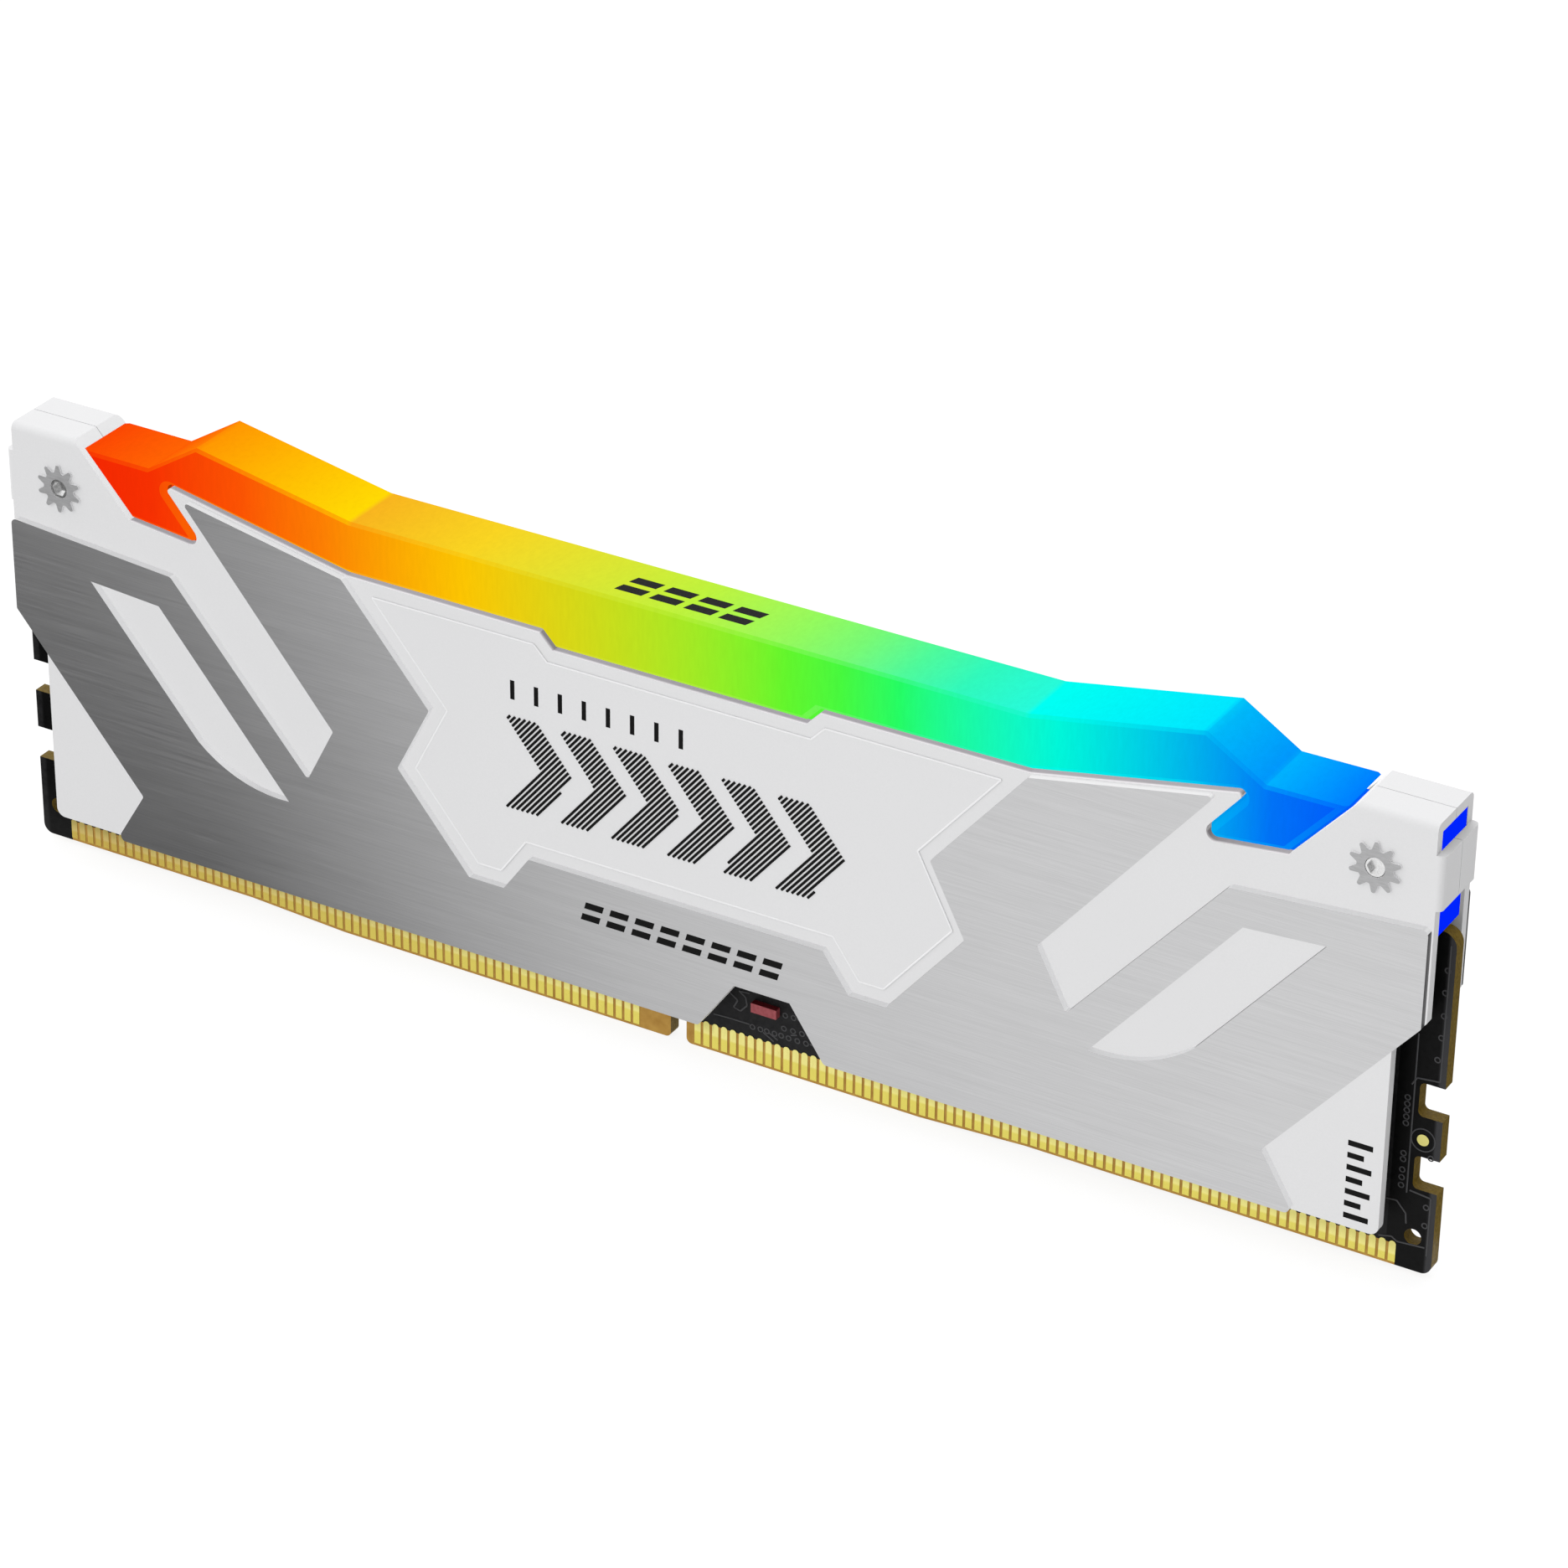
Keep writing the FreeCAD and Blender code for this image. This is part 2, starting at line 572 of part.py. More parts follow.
def add_slot(sketch, sign):
    """Draw a slot: three straight sides and a bowed lower side."""
    outer = (d["slot_outer_x"] * sign, d["slot_outer_z"])
    inner = (d["slot_inner_x"] * sign, d["slot_inner_z"])
    tip = (d["slot_tip_x"] * sign, d["slot_tip_z"])
    bend = (d["slot_bend_x"] * sign, d["slot_bend_z"])
    belly = FreeCAD.Vector(d["slot_belly_x"].number * sign, d["slot_belly_z"].number, 0)
    places = [outer, inner, tip, bend]
    points = [FreeCAD.Vector(x.number, z.number, 0) for x, z in places]
    sketch.addGeometry(Part.LineSegment(points[0], points[1]))
    sketch.addGeometry(Part.LineSegment(points[1], points[2]))
    sketch.addGeometry(Part.Arc(points[2], belly, points[3]))
    sketch.addGeometry(Part.LineSegment(points[3], points[0]))
    # An arc always runs anticlockwise, so on one side of the board the bow starts at the bend.
    starts_at_tip = sketch.getPoint(2, 1).distanceToPoint(points[2]) < TOLERANCE
    tip_end, bend_end = (1, 2) if starts_at_tip else (2, 1)
    sketch.addConstraint(Sketcher.Constraint("Coincident", 0, 2, 1, 1))
    sketch.addConstraint(Sketcher.Constraint("Coincident", 1, 2, 2, tip_end))
    sketch.addConstraint(Sketcher.Constraint("Coincident", 2, bend_end, 3, 1))
    sketch.addConstraint(Sketcher.Constraint("Coincident", 3, 2, 0, 1))
    pin_point(sketch, 0, 1, *outer)
    pin_point(sketch, 1, 1, *inner)
    pin_point(sketch, 1, 2, *tip)
    pin_point(sketch, 3, 1, *bend)
    sketch.addConstraint(Sketcher.Constraint("Radius", 2, sketch.Geometry[2].Radius))


def build_light_bar():
    """Frosted cover: peaks and a level middle on top, hooked lips down both faces, hollow inside."""
    top = [
        (ZERO, d["bar_kink_z"]),
        corner("bar_kink_x", "bar_kink_z"),
        corner("bar_peak_x", "bar_peak_z"),
        corner("bar_valley_x", "bar_valley_z"),
    ]
    body = new_body("light_bar")
    sketch = new_sketch(body, "bar_outline", ZERO)
    add_polygon(sketch, mirrored(top + BAR_OUTLINE))
    add_pad(body, sketch, d["bar_half_width"] * 2, centred=True)
    round_corners(body, [BAR_OUTLINE[2]], d["bar_toe_radius"])
    round_corners(body, [BAR_OUTLINE[3]], d["bar_notch_radius"])
    add_bar_bevel(body, "bar_lip_bevel", False)
    add_bar_bevel(body, "bar_top_bevel", True)

    cavity = new_sketch(body, "bar_cavity", ZERO)
    reach = d["bar_end_x"] + d["cavity_overcut"]
    floor = d["bar_keel_z"] - d["cavity_overcut"]
    add_polygon(cavity, [
        (-reach, floor), (reach, floor), (reach, d["bar_cavity_top"]), (-reach, d["bar_cavity_top"]),
    ])
    add_pocket(body, cavity, d["bar_cavity_half_width"] * 2, centred=True)
    return body


def add_bar_bevel(body, size_name, along_top):
    """Bevel the outlines of the bar's two outer faces, along its top or along its lips."""
    last = body.Tip
    bevel = body.newObject("PartDesign::Chamfer", size_name)
    bevel.Base = (last, face_outline(body.Shape, d["bar_half_width"].number, along_top))
    bevel.Size = d[size_name].number
    bevel.setExpression("Size", d[size_name].expression)
    body.Tip = bevel
    doc.recompute()


def face_outline(shape, half_width, along_top):
    """Name the edges of a slab's two outer faces that lie along its top, or all the others."""
    lowest_top = d["bar_valley_z"].number - d["bar_top_bevel"].number
    names = []
    for number, edge in enumerate(shape.Edges, start=1):
        box = edge.BoundBox
        on_face = box.YLength < TOLERANCE and abs(abs(box.YMin) - half_width) < TOLERANCE
        if on_face and (box.ZMin > lowest_top) == along_top:
            names.append(f"Edge{number}")
    return names


def build_light_guide():
    """Clear bar on the board's top edge, with a bore for each standoff."""
    corners = [
        (d["guide_end_x"], d["board_height"]),
        (d["guide_end_x"], d["guide_cap_top"]),
        (d["guide_shoulder_x"], d["guide_cap_top"]),
        (d["guide_shoulder_x"], d["bar_cavity_top"]),
    ]
    body = new_body("light_guide")
    sketch = new_sketch(body, "guide_outline", ZERO)
    add_polygon(sketch, mirrored(corners))
    for sign in ENDS.values():
        add_circle(sketch, d["screw_x"] * sign, d["screw_z"], d["guide_bore_dia"])
    add_pad(body, sketch, d["guide_half_width"] * 2, centred=True)
    return body


def build_washer(name, side, sign):
    """Gear-shaped washer, made round its own middle and then set in place."""
    body = new_body(name)
    depth = outward(side, d["sheet_outer_y"], d["washer_thick"])
    disc = new_sketch(body, f"{name}_disc", depth)
    add_circle(disc, ZERO, ZERO, d["washer_root_radius"] * 2)
    add_circle(disc, ZERO, ZERO, d["washer_bore_dia"])
    add_pad(body, disc, d["washer_thick"])

    tooth = new_sketch(body, f"{name}_tooth", depth)
    start = d["tooth_start_radius"]
    add_polygon(tooth, [
        (-d["tooth_root_half"], start), (d["tooth_root_half"], start),
        (d["tooth_tip_half"], d["washer_tip_radius"]), (-d["tooth_tip_half"], d["washer_tip_radius"]),
    ])
    tooth_pad = add_pad(body, tooth, d["washer_thick"])
    pattern = body.newObject("PartDesign::PolarPattern", f"{name}_teeth")
    pattern.Originals = [tooth_pad]
    pattern.Axis = (tooth, ["N_Axis"])
    pattern.Angle = 360
    pattern.Occurrences = int(d["washer_teeth"].number)
    pattern.setExpression("Occurrences", d["washer_teeth"].expression)
    body.Tip = pattern
    doc.recompute()
    add_fillet(body, washer_corners(body.Shape), d["tooth_round"])
    place_fastener(body, sign)
    return body


def washer_corners(shape):
    """Name the washer's edges parallel to Y outside its bore: tooth tips and roots."""
    bore_radius = d["washer_bore_dia"].number / 2
    names = []
    for number, edge in enumerate(shape.Edges, start=1):
        box = edge.BoundBox
        upright = box.XLength < TOLERANCE and box.ZLength < TOLERANCE
        reach = math.hypot(box.XMin, box.ZMin)
        if upright and reach > bore_radius + TOLERANCE:
            names.append(f"Edge{number}")
    return names


def place_fastener(part, sign):
    """Set a part that was made round the Y axis at one of the two screw places."""
    part.Placement = FreeCAD.Placement(
        FreeCAD.Vector(sign * d["screw_x"].number, 0, d["screw_z"].number), FreeCAD.Rotation())
    part.setExpression("Placement.Base.x", (d["screw_x"] * sign).expression)
    part.setExpression("Placement.Base.z", d["screw_z"].expression)


def cylinder_along_y(name, start_y, length, diameter, side):
    """Cylinder on the Y axis that starts at a depth and runs outwards from the board."""
    cylinder = doc.addObject("Part::Cylinder", name)
    cylinder.setExpression("Radius", f"({diameter.expression}) / 2")
    cylinder.setExpression("Height", length.expression)
    turn = FreeCAD.Rotation(FreeCAD.Vector(1, 0, 0), 90 * side)
    cylinder.Placement = FreeCAD.Placement(FreeCAD.Vector(0, -side * start_y.number, 0), turn)
    cylinder.setExpression("Placement.Base.y", (start_y * -side).expression)
    return cylinder


def build_screw(name, side, sign):
    """Socket screw: a round head with a hexagonal socket and a shank that enters the standoff."""
    seat_y = d["sheet_outer_y"] - d["sheet_recess_deep"]
    head = cylinder_along_y(f"{name}_head", seat_y, d["screw_head_high"], d["screw_head_dia"], side)
    shank_start = seat_y - d["screw_shank_long"]
    shank = cylinder_along_y(
        f"{name}_shank", shank_start, d["screw_shank_long"], d["screw_shank_dia"], side)
    blank = doc.addObject("Part::Fuse", f"{name}_blank")
    blank.Base = head
    blank.Tool = shank
    socket = doc.addObject("Part::Prism", f"{name}_socket")
    socket.Polygon = 6
    socket.setExpression("Circumradius", f"{d['screw_hex_flats'].expression} / sqrt(3)")
    socket.setExpression("Height", f"2 * {d['screw_hex_deep'].expression}")
    socket_y = seat_y + d["screw_head_high"] - d["screw_hex_deep"]
    turn = FreeCAD.Rotation(FreeCAD.Vector(1, 0, 0), 90 * side)
    socket.Placement = FreeCAD.Placement(FreeCAD.Vector(0, -side * socket_y.number, 0), turn)
    socket.setExpression("Placement.Base.y", (socket_y * -side).expression)
    screw = doc.addObject("Part::Cut", name)
    screw.Label = name
    screw.Base = blank
    screw.Tool = socket
    place_fastener(screw, sign)
    return screw


def build_standoff(name, sign):
    """Threaded post between the two sheets, bored through for both screws."""
    full = SHEET_INNER_Y * 2
    post = cylinder_along_y(f"{name}_post", -SHEET_INNER_Y, full, d["standoff_dia"], 1)
    bore = cylinder_along_y(f"{name}_bore", -SHEET_INNER_Y, full, d["screw_shank_dia"], 1)
    standoff = doc.addObject("Part::Cut", name)
    standoff.Label = name
    standoff.Base = post
    standoff.Tool = bore
    place_fastener(standoff, sign)
    return standoff


def chip(name, middle_x, middle_z, long, tall, thick, side=1):
    """Rectangular package lying on one face of the board."""
    box = doc.addObject("Part::Box", name)
    box.Label = name
    box.setExpression("Length", long.expression)
    box.setExpression("Width", thick.expression)
    box.setExpression("Height", tall.expression)
    low = {
        "x": middle_x - long * 0.5,
        "y": -(BOARD_HALF_THICK + thick) if side > 0 else BOARD_HALF_THICK,
        "z": middle_z - tall * 0.5,
    }
    box.Placement = FreeCAD.Placement(
        FreeCAD.Vector(low["x"].number, low["y"].number, low["z"].number), FreeCAD.Rotation())
    for axis, place in low.items():
        box.setExpression(f"Placement.Base.{axis}", place.expression)
    return box


def build_drams():
    """Eight memory packages in a row, four each side of the power parts."""
    ranks = range(int(d["drams_each_side"].number))
    right_half = [d["dram_first_x"] + d["dram_pitch"] * rank for rank in ranks]
    middles = [-x for x in reversed(right_half)] + right_half
    size = (d["dram_long"], d["dram_tall"], d["dram_thick"])
    return [
        chip(f"dram_{number}", x, d["dram_middle_z"], *size)
        for number, x in enumerate(middles, start=1)]


def build_pad(name, side):
    """Thermal pad between the sheet and the packages, or the bare board at the back."""
    below = d["dram_thick"] if side > 0 else ZERO
    thick = SHEET_INNER_Y - BOARD_HALF_THICK - below
    pad = chip(
        name, ZERO, (d["pad_low"] + d["pad_high"]) * 0.5, d["pad_half_length"] * 2,
        d["pad_high"] - d["pad_low"], thick, side)
    if side > 0:
        place = -(BOARD_HALF_THICK + below + thick)
        pad.setExpression("Placement.Base.y", place.expression)
    return pad


def small_box(middle_x, middle_z, long, tall, thick):
    """One small block on the front face of the board, from plain numbers."""
    face_y = -BOARD_HALF_THICK.number
    low = FreeCAD.Vector(middle_x - long / 2, face_y - thick, middle_z - tall / 2)
    return Part.makeBox(long, thick, tall, low)


def row_middles(count, pitch, middle=0.0):
    """Evenly spaced places round a middle."""
    return [middle + (k - (count - 1) / 2) * pitch for k in range(count)]


def build_small_groups():
    """Groups of like small parts on the front of the board."""
    n = {name: size.number for name, size in d.items()}
    inductors = [
        small_box(x, n["inductor_z"], n["inductor_size"], n["inductor_size"], n["inductor_thick"])
        for x in row_middles(int(n["inductor_count"]), n["inductor_pitch"])]
    leds = [
        small_box(x, n["led_z"], n["led_long"], n["led_tall"], n["led_thick"])
        for x in row_middles(int(n["led_count"]), n["led_pitch"])]
    capacitors = [
        small_box(x, n["capacitor_z"], n["passive_long"], n["passive_tall"], n["passive_thick"])
        for x in row_middles(int(n["capacitor_count"]), n["capacitor_pitch"])]
    resistors = [
        small_box(x, n["resistor_z"], n["passive_tall"], n["passive_long"], n["passive_thick"])
        for x in row_middles(int(n["resistor_count"]), n["resistor_pitch"], n["resistor_x"])]
    return [
        group_feature("inductors", inductors),
        group_feature("leds", leds),
        group_feature("capacitors", capacitors),
        group_feature("resistors", resistors),
    ]


def build_fiducial():
    """Round gold pad on the end tab between the latch notches."""
    disc = doc.addObject("Part::Cylinder", "fiducial")
    disc.Label = "fiducial"
    disc.setExpression("Radius", f"{d['fiducial_dia'].expression} / 2")
    disc.setExpression("Height", d["fiducial_thick"].expression)
    place = FreeCAD.Vector(d["fiducial_x"].number, -BOARD_HALF_THICK.number, d["fiducial_z"].number)
    disc.Placement = FreeCAD.Placement(place, FreeCAD.Rotation(FreeCAD.Vector(1, 0, 0), 90))
    disc.setExpression("Placement.Base.x", d["fiducial_x"].expression)
    disc.setExpression("Placement.Base.y", (-BOARD_HALF_THICK).expression)
    disc.setExpression("Placement.Base.z", d["fiducial_z"].expression)
    return disc


def build_all():
    """Build every sub-part and return them in a list."""
    parts = [build_board(), build_light_bar(), build_light_guide()]
    for side_name, side in SIDES.items():
        parts.append(build_contacts(f"contacts_{side_name}", side))
        parts.append(build_spreader(f"{side_name}_spreader", side))
        parts.append(build_plate(f"{side_name}_plate", side))
        parts.append(build_pad(f"thermal_pad_{side_name}", side))
        for end, sign in ENDS.items():
            parts.append(build_washer(f"washer_{side_name}_{end}", side, sign))
            parts.append(build_screw(f"screw_{side_name}_{end}", side, sign))
    for end, sign in ENDS.items():
        parts.append(build_standoff(f"standoff_{end}", sign))
    parts += build_drams()
    parts.append(chip("pmic", ZERO, d["pmic_z"], d["pmic_size"], d["pmic_size"], d["pmic_thick"]))
    parts.append(chip("spd_hub", ZERO, d["hub_z"], d["hub_long"], d["hub_tall"], d["hub_thick"]))
    parts.append(chip(
        "rgb_controller", d["rgb_x"], d["rgb_z"], d["rgb_size"], d["rgb_chip_tall"], d["rgb_thick"]))
    parts.append(chip(
        "ir_sensor", d["sensor_x"], d["sensor_z"],
        d["sensor_long"], d["sensor_tall"], d["sensor_thick"]))
    parts += build_small_groups()
    parts.append(build_fiducial())
    return parts


def check_document(parts):
    """Stop on any failed object or bad shape before anything is written."""
    for item in doc.Objects:
        if "Invalid" in item.State or "Error" in item.State:
            raise RuntimeError(f"{item.Name} failed: {item.State}")
    for part in parts:
        if part.Shape.isNull() or not part.Shape.isValid() or not part.Shape.Solids:
            raise RuntimeError(f"{part.Label} has a bad shape")


def write_parts(parts):
    """Write each sub-part to its own STEP file."""
    os.makedirs("parts", exist_ok=True)
    for part in parts:
        part.Shape.exportStep(os.path.join("parts", f"{part.Label}.step"))
        print(f"{part.Label}: {len(part.Shape.Solids)} solids, {part.Shape.Volume:.2f} mm3")


all_parts = build_all()
doc.recompute()
check_document(all_parts)
write_parts(all_parts)
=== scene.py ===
"""Looks of the memory module: materials, printed and pressed detail, light and camera."""
import bpy
import bmesh
import math
from mathutils import Matrix, Vector


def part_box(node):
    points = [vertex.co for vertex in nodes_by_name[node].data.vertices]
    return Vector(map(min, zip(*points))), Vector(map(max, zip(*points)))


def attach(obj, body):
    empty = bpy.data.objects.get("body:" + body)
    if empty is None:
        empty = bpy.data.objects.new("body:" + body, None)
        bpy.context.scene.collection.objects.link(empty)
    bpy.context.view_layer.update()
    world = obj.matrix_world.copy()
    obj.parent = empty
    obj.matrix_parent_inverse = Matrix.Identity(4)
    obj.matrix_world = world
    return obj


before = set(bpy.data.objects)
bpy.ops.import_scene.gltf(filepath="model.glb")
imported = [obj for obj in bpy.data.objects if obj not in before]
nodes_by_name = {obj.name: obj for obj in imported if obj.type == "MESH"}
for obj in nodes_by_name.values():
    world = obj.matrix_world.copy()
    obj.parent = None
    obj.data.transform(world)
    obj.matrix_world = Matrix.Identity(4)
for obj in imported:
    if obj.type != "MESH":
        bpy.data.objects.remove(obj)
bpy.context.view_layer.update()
MM = 0.001

# ---------------------------------------------------------------- sizes, in millimetres
# A face is given by its distance from the board's middle plane.
BOARD_FACE = -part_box("pcb")[0].y / MM
PLATE_FACE = -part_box("front_plate")[0].y / MM
PANEL_FACE = -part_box("front_spreader")[0].y / MM
SHEET_FACE = 3.175
PLATE_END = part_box("front_plate")[1].x / MM
SHEET_END = 65.75

# Places along the light bar where its outline turns, and the height of its level top.
KINK, PEAK, VALLEY = 31.25, 46.35, 51.4
BAR_TOP = 41.2

# The sheets' cut-out round the bar's lips, and how deep the gap beside a lip can be seen.
CUT_LOW, CUT_HIGH, CUT_END = 34.0, 41.2, 53.6
GAP_DEPTH = 0.3

# The sensor port, and the bare laminate round the contacts.
PORT_MIDDLE, PORT_HALF = 8.3, 6.3
BARE_TOP, BARE_END = 2.44, 63.6

# How far a print stands out of its face, and how far it is sunk in.
INK = 0.004
SUNK = 0.05


# ---------------------------------------------------------------- colour and node helpers
def lin(red, green, blue):
    """Linear colour from 8-bit screen values."""
    def one(value):
        value /= 255.0
        return value / 12.92 if value <= 0.04045 else ((value + 0.055) / 1.055) ** 2.4
    return (one(red), one(green), one(blue), 1.0)


def shade(value, amount):
    """A colour made darker or lighter by a factor."""
    return tuple(channel * amount for channel in value[:3]) + (1.0,)


WHITE = (1.0, 1.0, 1.0, 1.0)


class Look:
    """A material with a Principled shader and short calls for the nodes behind it."""

    def __init__(self, name, roughness=0.5, metallic=0.0, specular=0.5):
        self.material = bpy.data.materials.new(name)
        self.material.use_nodes = True
        self.tree = self.material.node_tree
        self.shader = self.tree.nodes["Principled BSDF"]
        self.shader.inputs["Roughness"].default_value = roughness
        self.shader.inputs["Metallic"].default_value = metallic
        self.shader.inputs["Specular IOR Level"].default_value = specular
        self.place = self.add("ShaderNodeTexCoord").outputs["Object"]

    def add(self, kind, **settings):
        """A new node with its settings."""
        node = self.tree.nodes.new(kind)
        for key, value in settings.items():
            setattr(node, key, value)
        return node

    def feed(self, socket, value):
        """Give a socket either a link or a plain value."""
        if isinstance(value, bpy.types.NodeSocket):
            self.tree.links.new(value, socket)
        else:
            socket.default_value = value

    def calc(self, operation, a, b=0.0):
        """One step of arithmetic."""
        node = self.add("ShaderNodeMath", operation=operation)
        self.feed(node.inputs[0], a)
        self.feed(node.inputs[1], b)
        return node.outputs[0]

    def above(self, value, limit):
        """1 where a value is over a limit, 0 elsewhere."""
        return self.calc("GREATER_THAN", value, limit)

    def below(self, value, limit):
        """1 where a value is under a limit, 0 elsewhere."""
        return self.calc("LESS_THAN", value, limit)

    def size(self, value):
        """A value without its sign."""
        return self.calc("ABSOLUTE", value)

    def opposite(self, mask):
        """1 where a mask is 0, and 0 where it is 1."""
        return self.calc("SUBTRACT", 1.0, mask)

    def all_of(self, mask, *others):
        """Product of several masks."""
        for other in others:
            mask = self.calc("MULTIPLY", mask, other)
        return mask

    def remap(self, value, low, high, new_low=0.0, new_high=1.0):
        """Carry one range of a value over to another, and hold it there."""
        node = self.add("ShaderNodeMapRange", clamp=True)
        self.feed(node.inputs["Value"], value)
        node.inputs["From Min"].default_value = low
        node.inputs["From Max"].default_value = high
        node.inputs["To Min"].default_value = new_low
        node.inputs["To Max"].default_value = new_high
        return node.outputs["Result"]

    def blend(self, factor, a, b, mode="MIX"):
        """Mix two colours."""
        node = self.add("ShaderNodeMix", data_type="RGBA", blend_type=mode)
        self.feed(node.inputs["Factor"], factor)
        for socket, value in ((6, a), (7, b)):
            self.feed(node.inputs[socket], value)
        return node.outputs[2]

    def axes(self):
        """The point's X, Y and Z in metres."""
        node = self.add("ShaderNodeSeparateXYZ")
        self.tree.links.new(self.place, node.inputs[0])
        return node.outputs

    def facing(self):
        """The surface's own direction as X, Y and Z."""
        node = self.add("ShaderNodeSeparateXYZ")
        self.tree.links.new(self.add("ShaderNodeNewGeometry").outputs["Normal"], node.inputs[0])
        return node.outputs

    def noise(self, per_mm, detail=3.0, rough=0.55, turn=(0.0, 0.0, 0.0)):
        """Noise with its own number of cells per millimetre along each axis."""
        mapping = self.add("ShaderNodeMapping")
        self.tree.links.new(self.place, mapping.inputs["Vector"])
        mapping.inputs["Rotation"].default_value = turn
        mapping.inputs["Scale"].default_value = [value / MM for value in per_mm]
        node = self.add("ShaderNodeTexNoise")
        self.tree.links.new(mapping.outputs[0], node.inputs["Vector"])
        node.inputs["Scale"].default_value = 1.0
        node.inputs["Detail"].default_value = detail
        node.inputs["Roughness"].default_value = rough
        return node.outputs["Fac"]

    def ramp(self, value, stops):
        """Colour ramp with (place, colour) stops."""
        node = self.add("ShaderNodeValToRGB")
        self.tree.links.new(value, node.inputs["Fac"])
        elements = node.color_ramp.elements
        while len(elements) > 1:
            elements.remove(elements[-1])
        elements[0].position, elements[0].color = stops[0]
        for place, colour in stops[1:]:
            elements.new(place).color = colour
        return node.outputs["Color"]

    def streaks(self, grain, colour, dark=0.85, light=1.12):
        """A colour that a grain makes darker and lighter."""
        return self.blend(self.remap(grain, 0.25, 0.75), shade(colour, dark), shade(colour, light))

    def bump(self, height, strength, distance_mm):
        """Fine relief of the surface."""
        node = self.add("ShaderNodeBump")
        node.inputs["Strength"].default_value = strength
        node.inputs["Distance"].default_value = distance_mm * MM
        self.tree.links.new(height, node.inputs["Height"])
        self.tree.links.new(node.outputs["Normal"], self.shader.inputs["Normal"])

    def base(self, value):
        """Set the surface's own colour."""
        self.feed(self.shader.inputs["Base Color"], value)

    def rough(self, value):
        """Set the roughness."""
        self.feed(self.shader.inputs["Roughness"], value)

    def glow(self, colour, strength):
        """Let the surface give off light."""
        self.feed(self.shader.inputs["Emission Color"], colour)
        self.shader.inputs["Emission Strength"].default_value = strength


# ---------------------------------------------------------------- materials
def sheet_look():
    """White paint, brighter on slopes that face the light and shaded in the gap round the bar."""
    look = Look("sheet_white", specular=0.35)
    grain = look.noise((5.0, 5.0, 5.0), detail=4.0)
    cloud = look.noise((0.06, 0.06, 0.06), detail=2.0)
    white = lin(217, 217, 218)
    x, y, z = look.axes()
    nx, ny, nz = look.facing()
    colour = look.blend(look.remap(cloud, 0.35, 0.65), shade(white, 0.985), white)
    colour = look.blend(look.remap(grain, 0.3, 0.7), shade(white, 0.97), colour)
    slope = look.all_of(look.remap(nx, 0.3, 0.5), look.remap(nz, 0.3, 0.5))
    colour = look.blend(slope, colour, lin(250, 250, 251))

    in_cut = look.all_of(
        look.below(look.size(ny), 0.5), look.below(look.size(x), CUT_END * MM),
        look.below(z, CUT_HIGH * MM), look.above(z, CUT_LOW * MM), look.remap(nz, 0.1, 0.3))
    outer = look.remap(look.size(y), (SHEET_FACE - GAP_DEPTH) * MM, SHEET_FACE * MM)
    gap = look.blend(outer, lin(146, 142, 147), lin(226, 223, 226))
    look.base(look.blend(in_cut, colour, gap))
    look.rough(look.remap(grain, 0.3, 0.7, 0.42, 0.56))
    look.bump(grain, 0.12, 0.01)
    return look.material


def plate_look():
    """Metal brushed along the board, with matt cut walls whose colour is painted light: painted
    highlight where a wall faces up or to the side, painted shade elsewhere and on the end walls.
    """
    look = Look("plate_brushed")
    fine = look.noise((0.12, 3.0, 11.0), detail=5.0, rough=0.7)
    broad = look.noise((0.03, 1.0, 1.3), detail=3.0)
    steel = lin(204, 204, 205)
    streak = look.streaks(fine, steel, 0.86, 1.10)
    face = look.blend(look.remap(broad, 0.3, 0.7, 0.0, 0.35), streak, shade(steel, 0.93))

    # The lit side is +X on the front plate and -X on the back one, which is seen from behind.
    side_share = 0.9
    x, y, z = look.axes()
    nx, ny, nz = look.facing()
    behind = look.above(y, 0.0)
    hand = look.calc("SUBTRACT", side_share, look.calc("MULTIPLY", behind, 2 * side_share))
    sideways = look.calc("MULTIPLY", nx, hand)
    # The plate's end walls always get the painted shade.
    at_end = look.all_of(look.above(look.size(x), (PLATE_END - 0.1) * MM), look.below(nz, 0.4))
    # Walls facing up or to the lit side get a painted highlight, the others painted shade.
    lit = look.all_of(
        look.remap(look.calc("ADD", nz, sideways), -0.05, 0.2), look.opposite(at_end))
    bright = look.blend(look.remap(sideways, 0.15, 0.45), lin(208, 208, 209), lin(238, 238, 239))
    wall = look.blend(lit, lin(70, 70, 71), bright)

    on_wall = look.below(look.size(ny), 0.8)
    on_face = look.opposite(on_wall)
    look.base(look.blend(on_wall, face, wall))
    look.feed(look.shader.inputs["Metallic"], on_face)
    look.rough(look.remap(fine, 0.25, 0.75, 0.30, 0.42))
    look.bump(look.all_of(fine, on_face), 0.10, 0.01)
    return look.material


def steel_look(name, colour, per_mm, roughness):
    """Bright metal with a fine grain."""
    look = Look(name, metallic=1.0)
    fine = look.noise(per_mm, detail=4.0, rough=0.65)
    look.base(look.streaks(fine, colour))
    look.rough(look.remap(fine, 0.25, 0.75, roughness - 0.05, roughness + 0.08))
    look.bump(fine, 0.15, 0.01)
    return look.material


def washer_look():
    """Brushed face, with a painted highlight on its rim."""
    look = Look("washer_steel", metallic=0.3)
    fine = look.noise((1.2, 4.0, 9.0), detail=4.0, rough=0.65, turn=(0.0, 0.6, 0.0))
    # The rim's light colour is a painted highlight on the washer's side wall.
    on_rim = look.below(look.size(look.facing()[1]), 0.6)
    look.base(look.blend(on_rim, look.streaks(fine, lin(166, 166, 167)), lin(228, 228, 229)))
    look.rough(look.remap(fine, 0.25, 0.75, 0.37, 0.5))
    look.bump(fine, 0.15, 0.01)
    return look.material


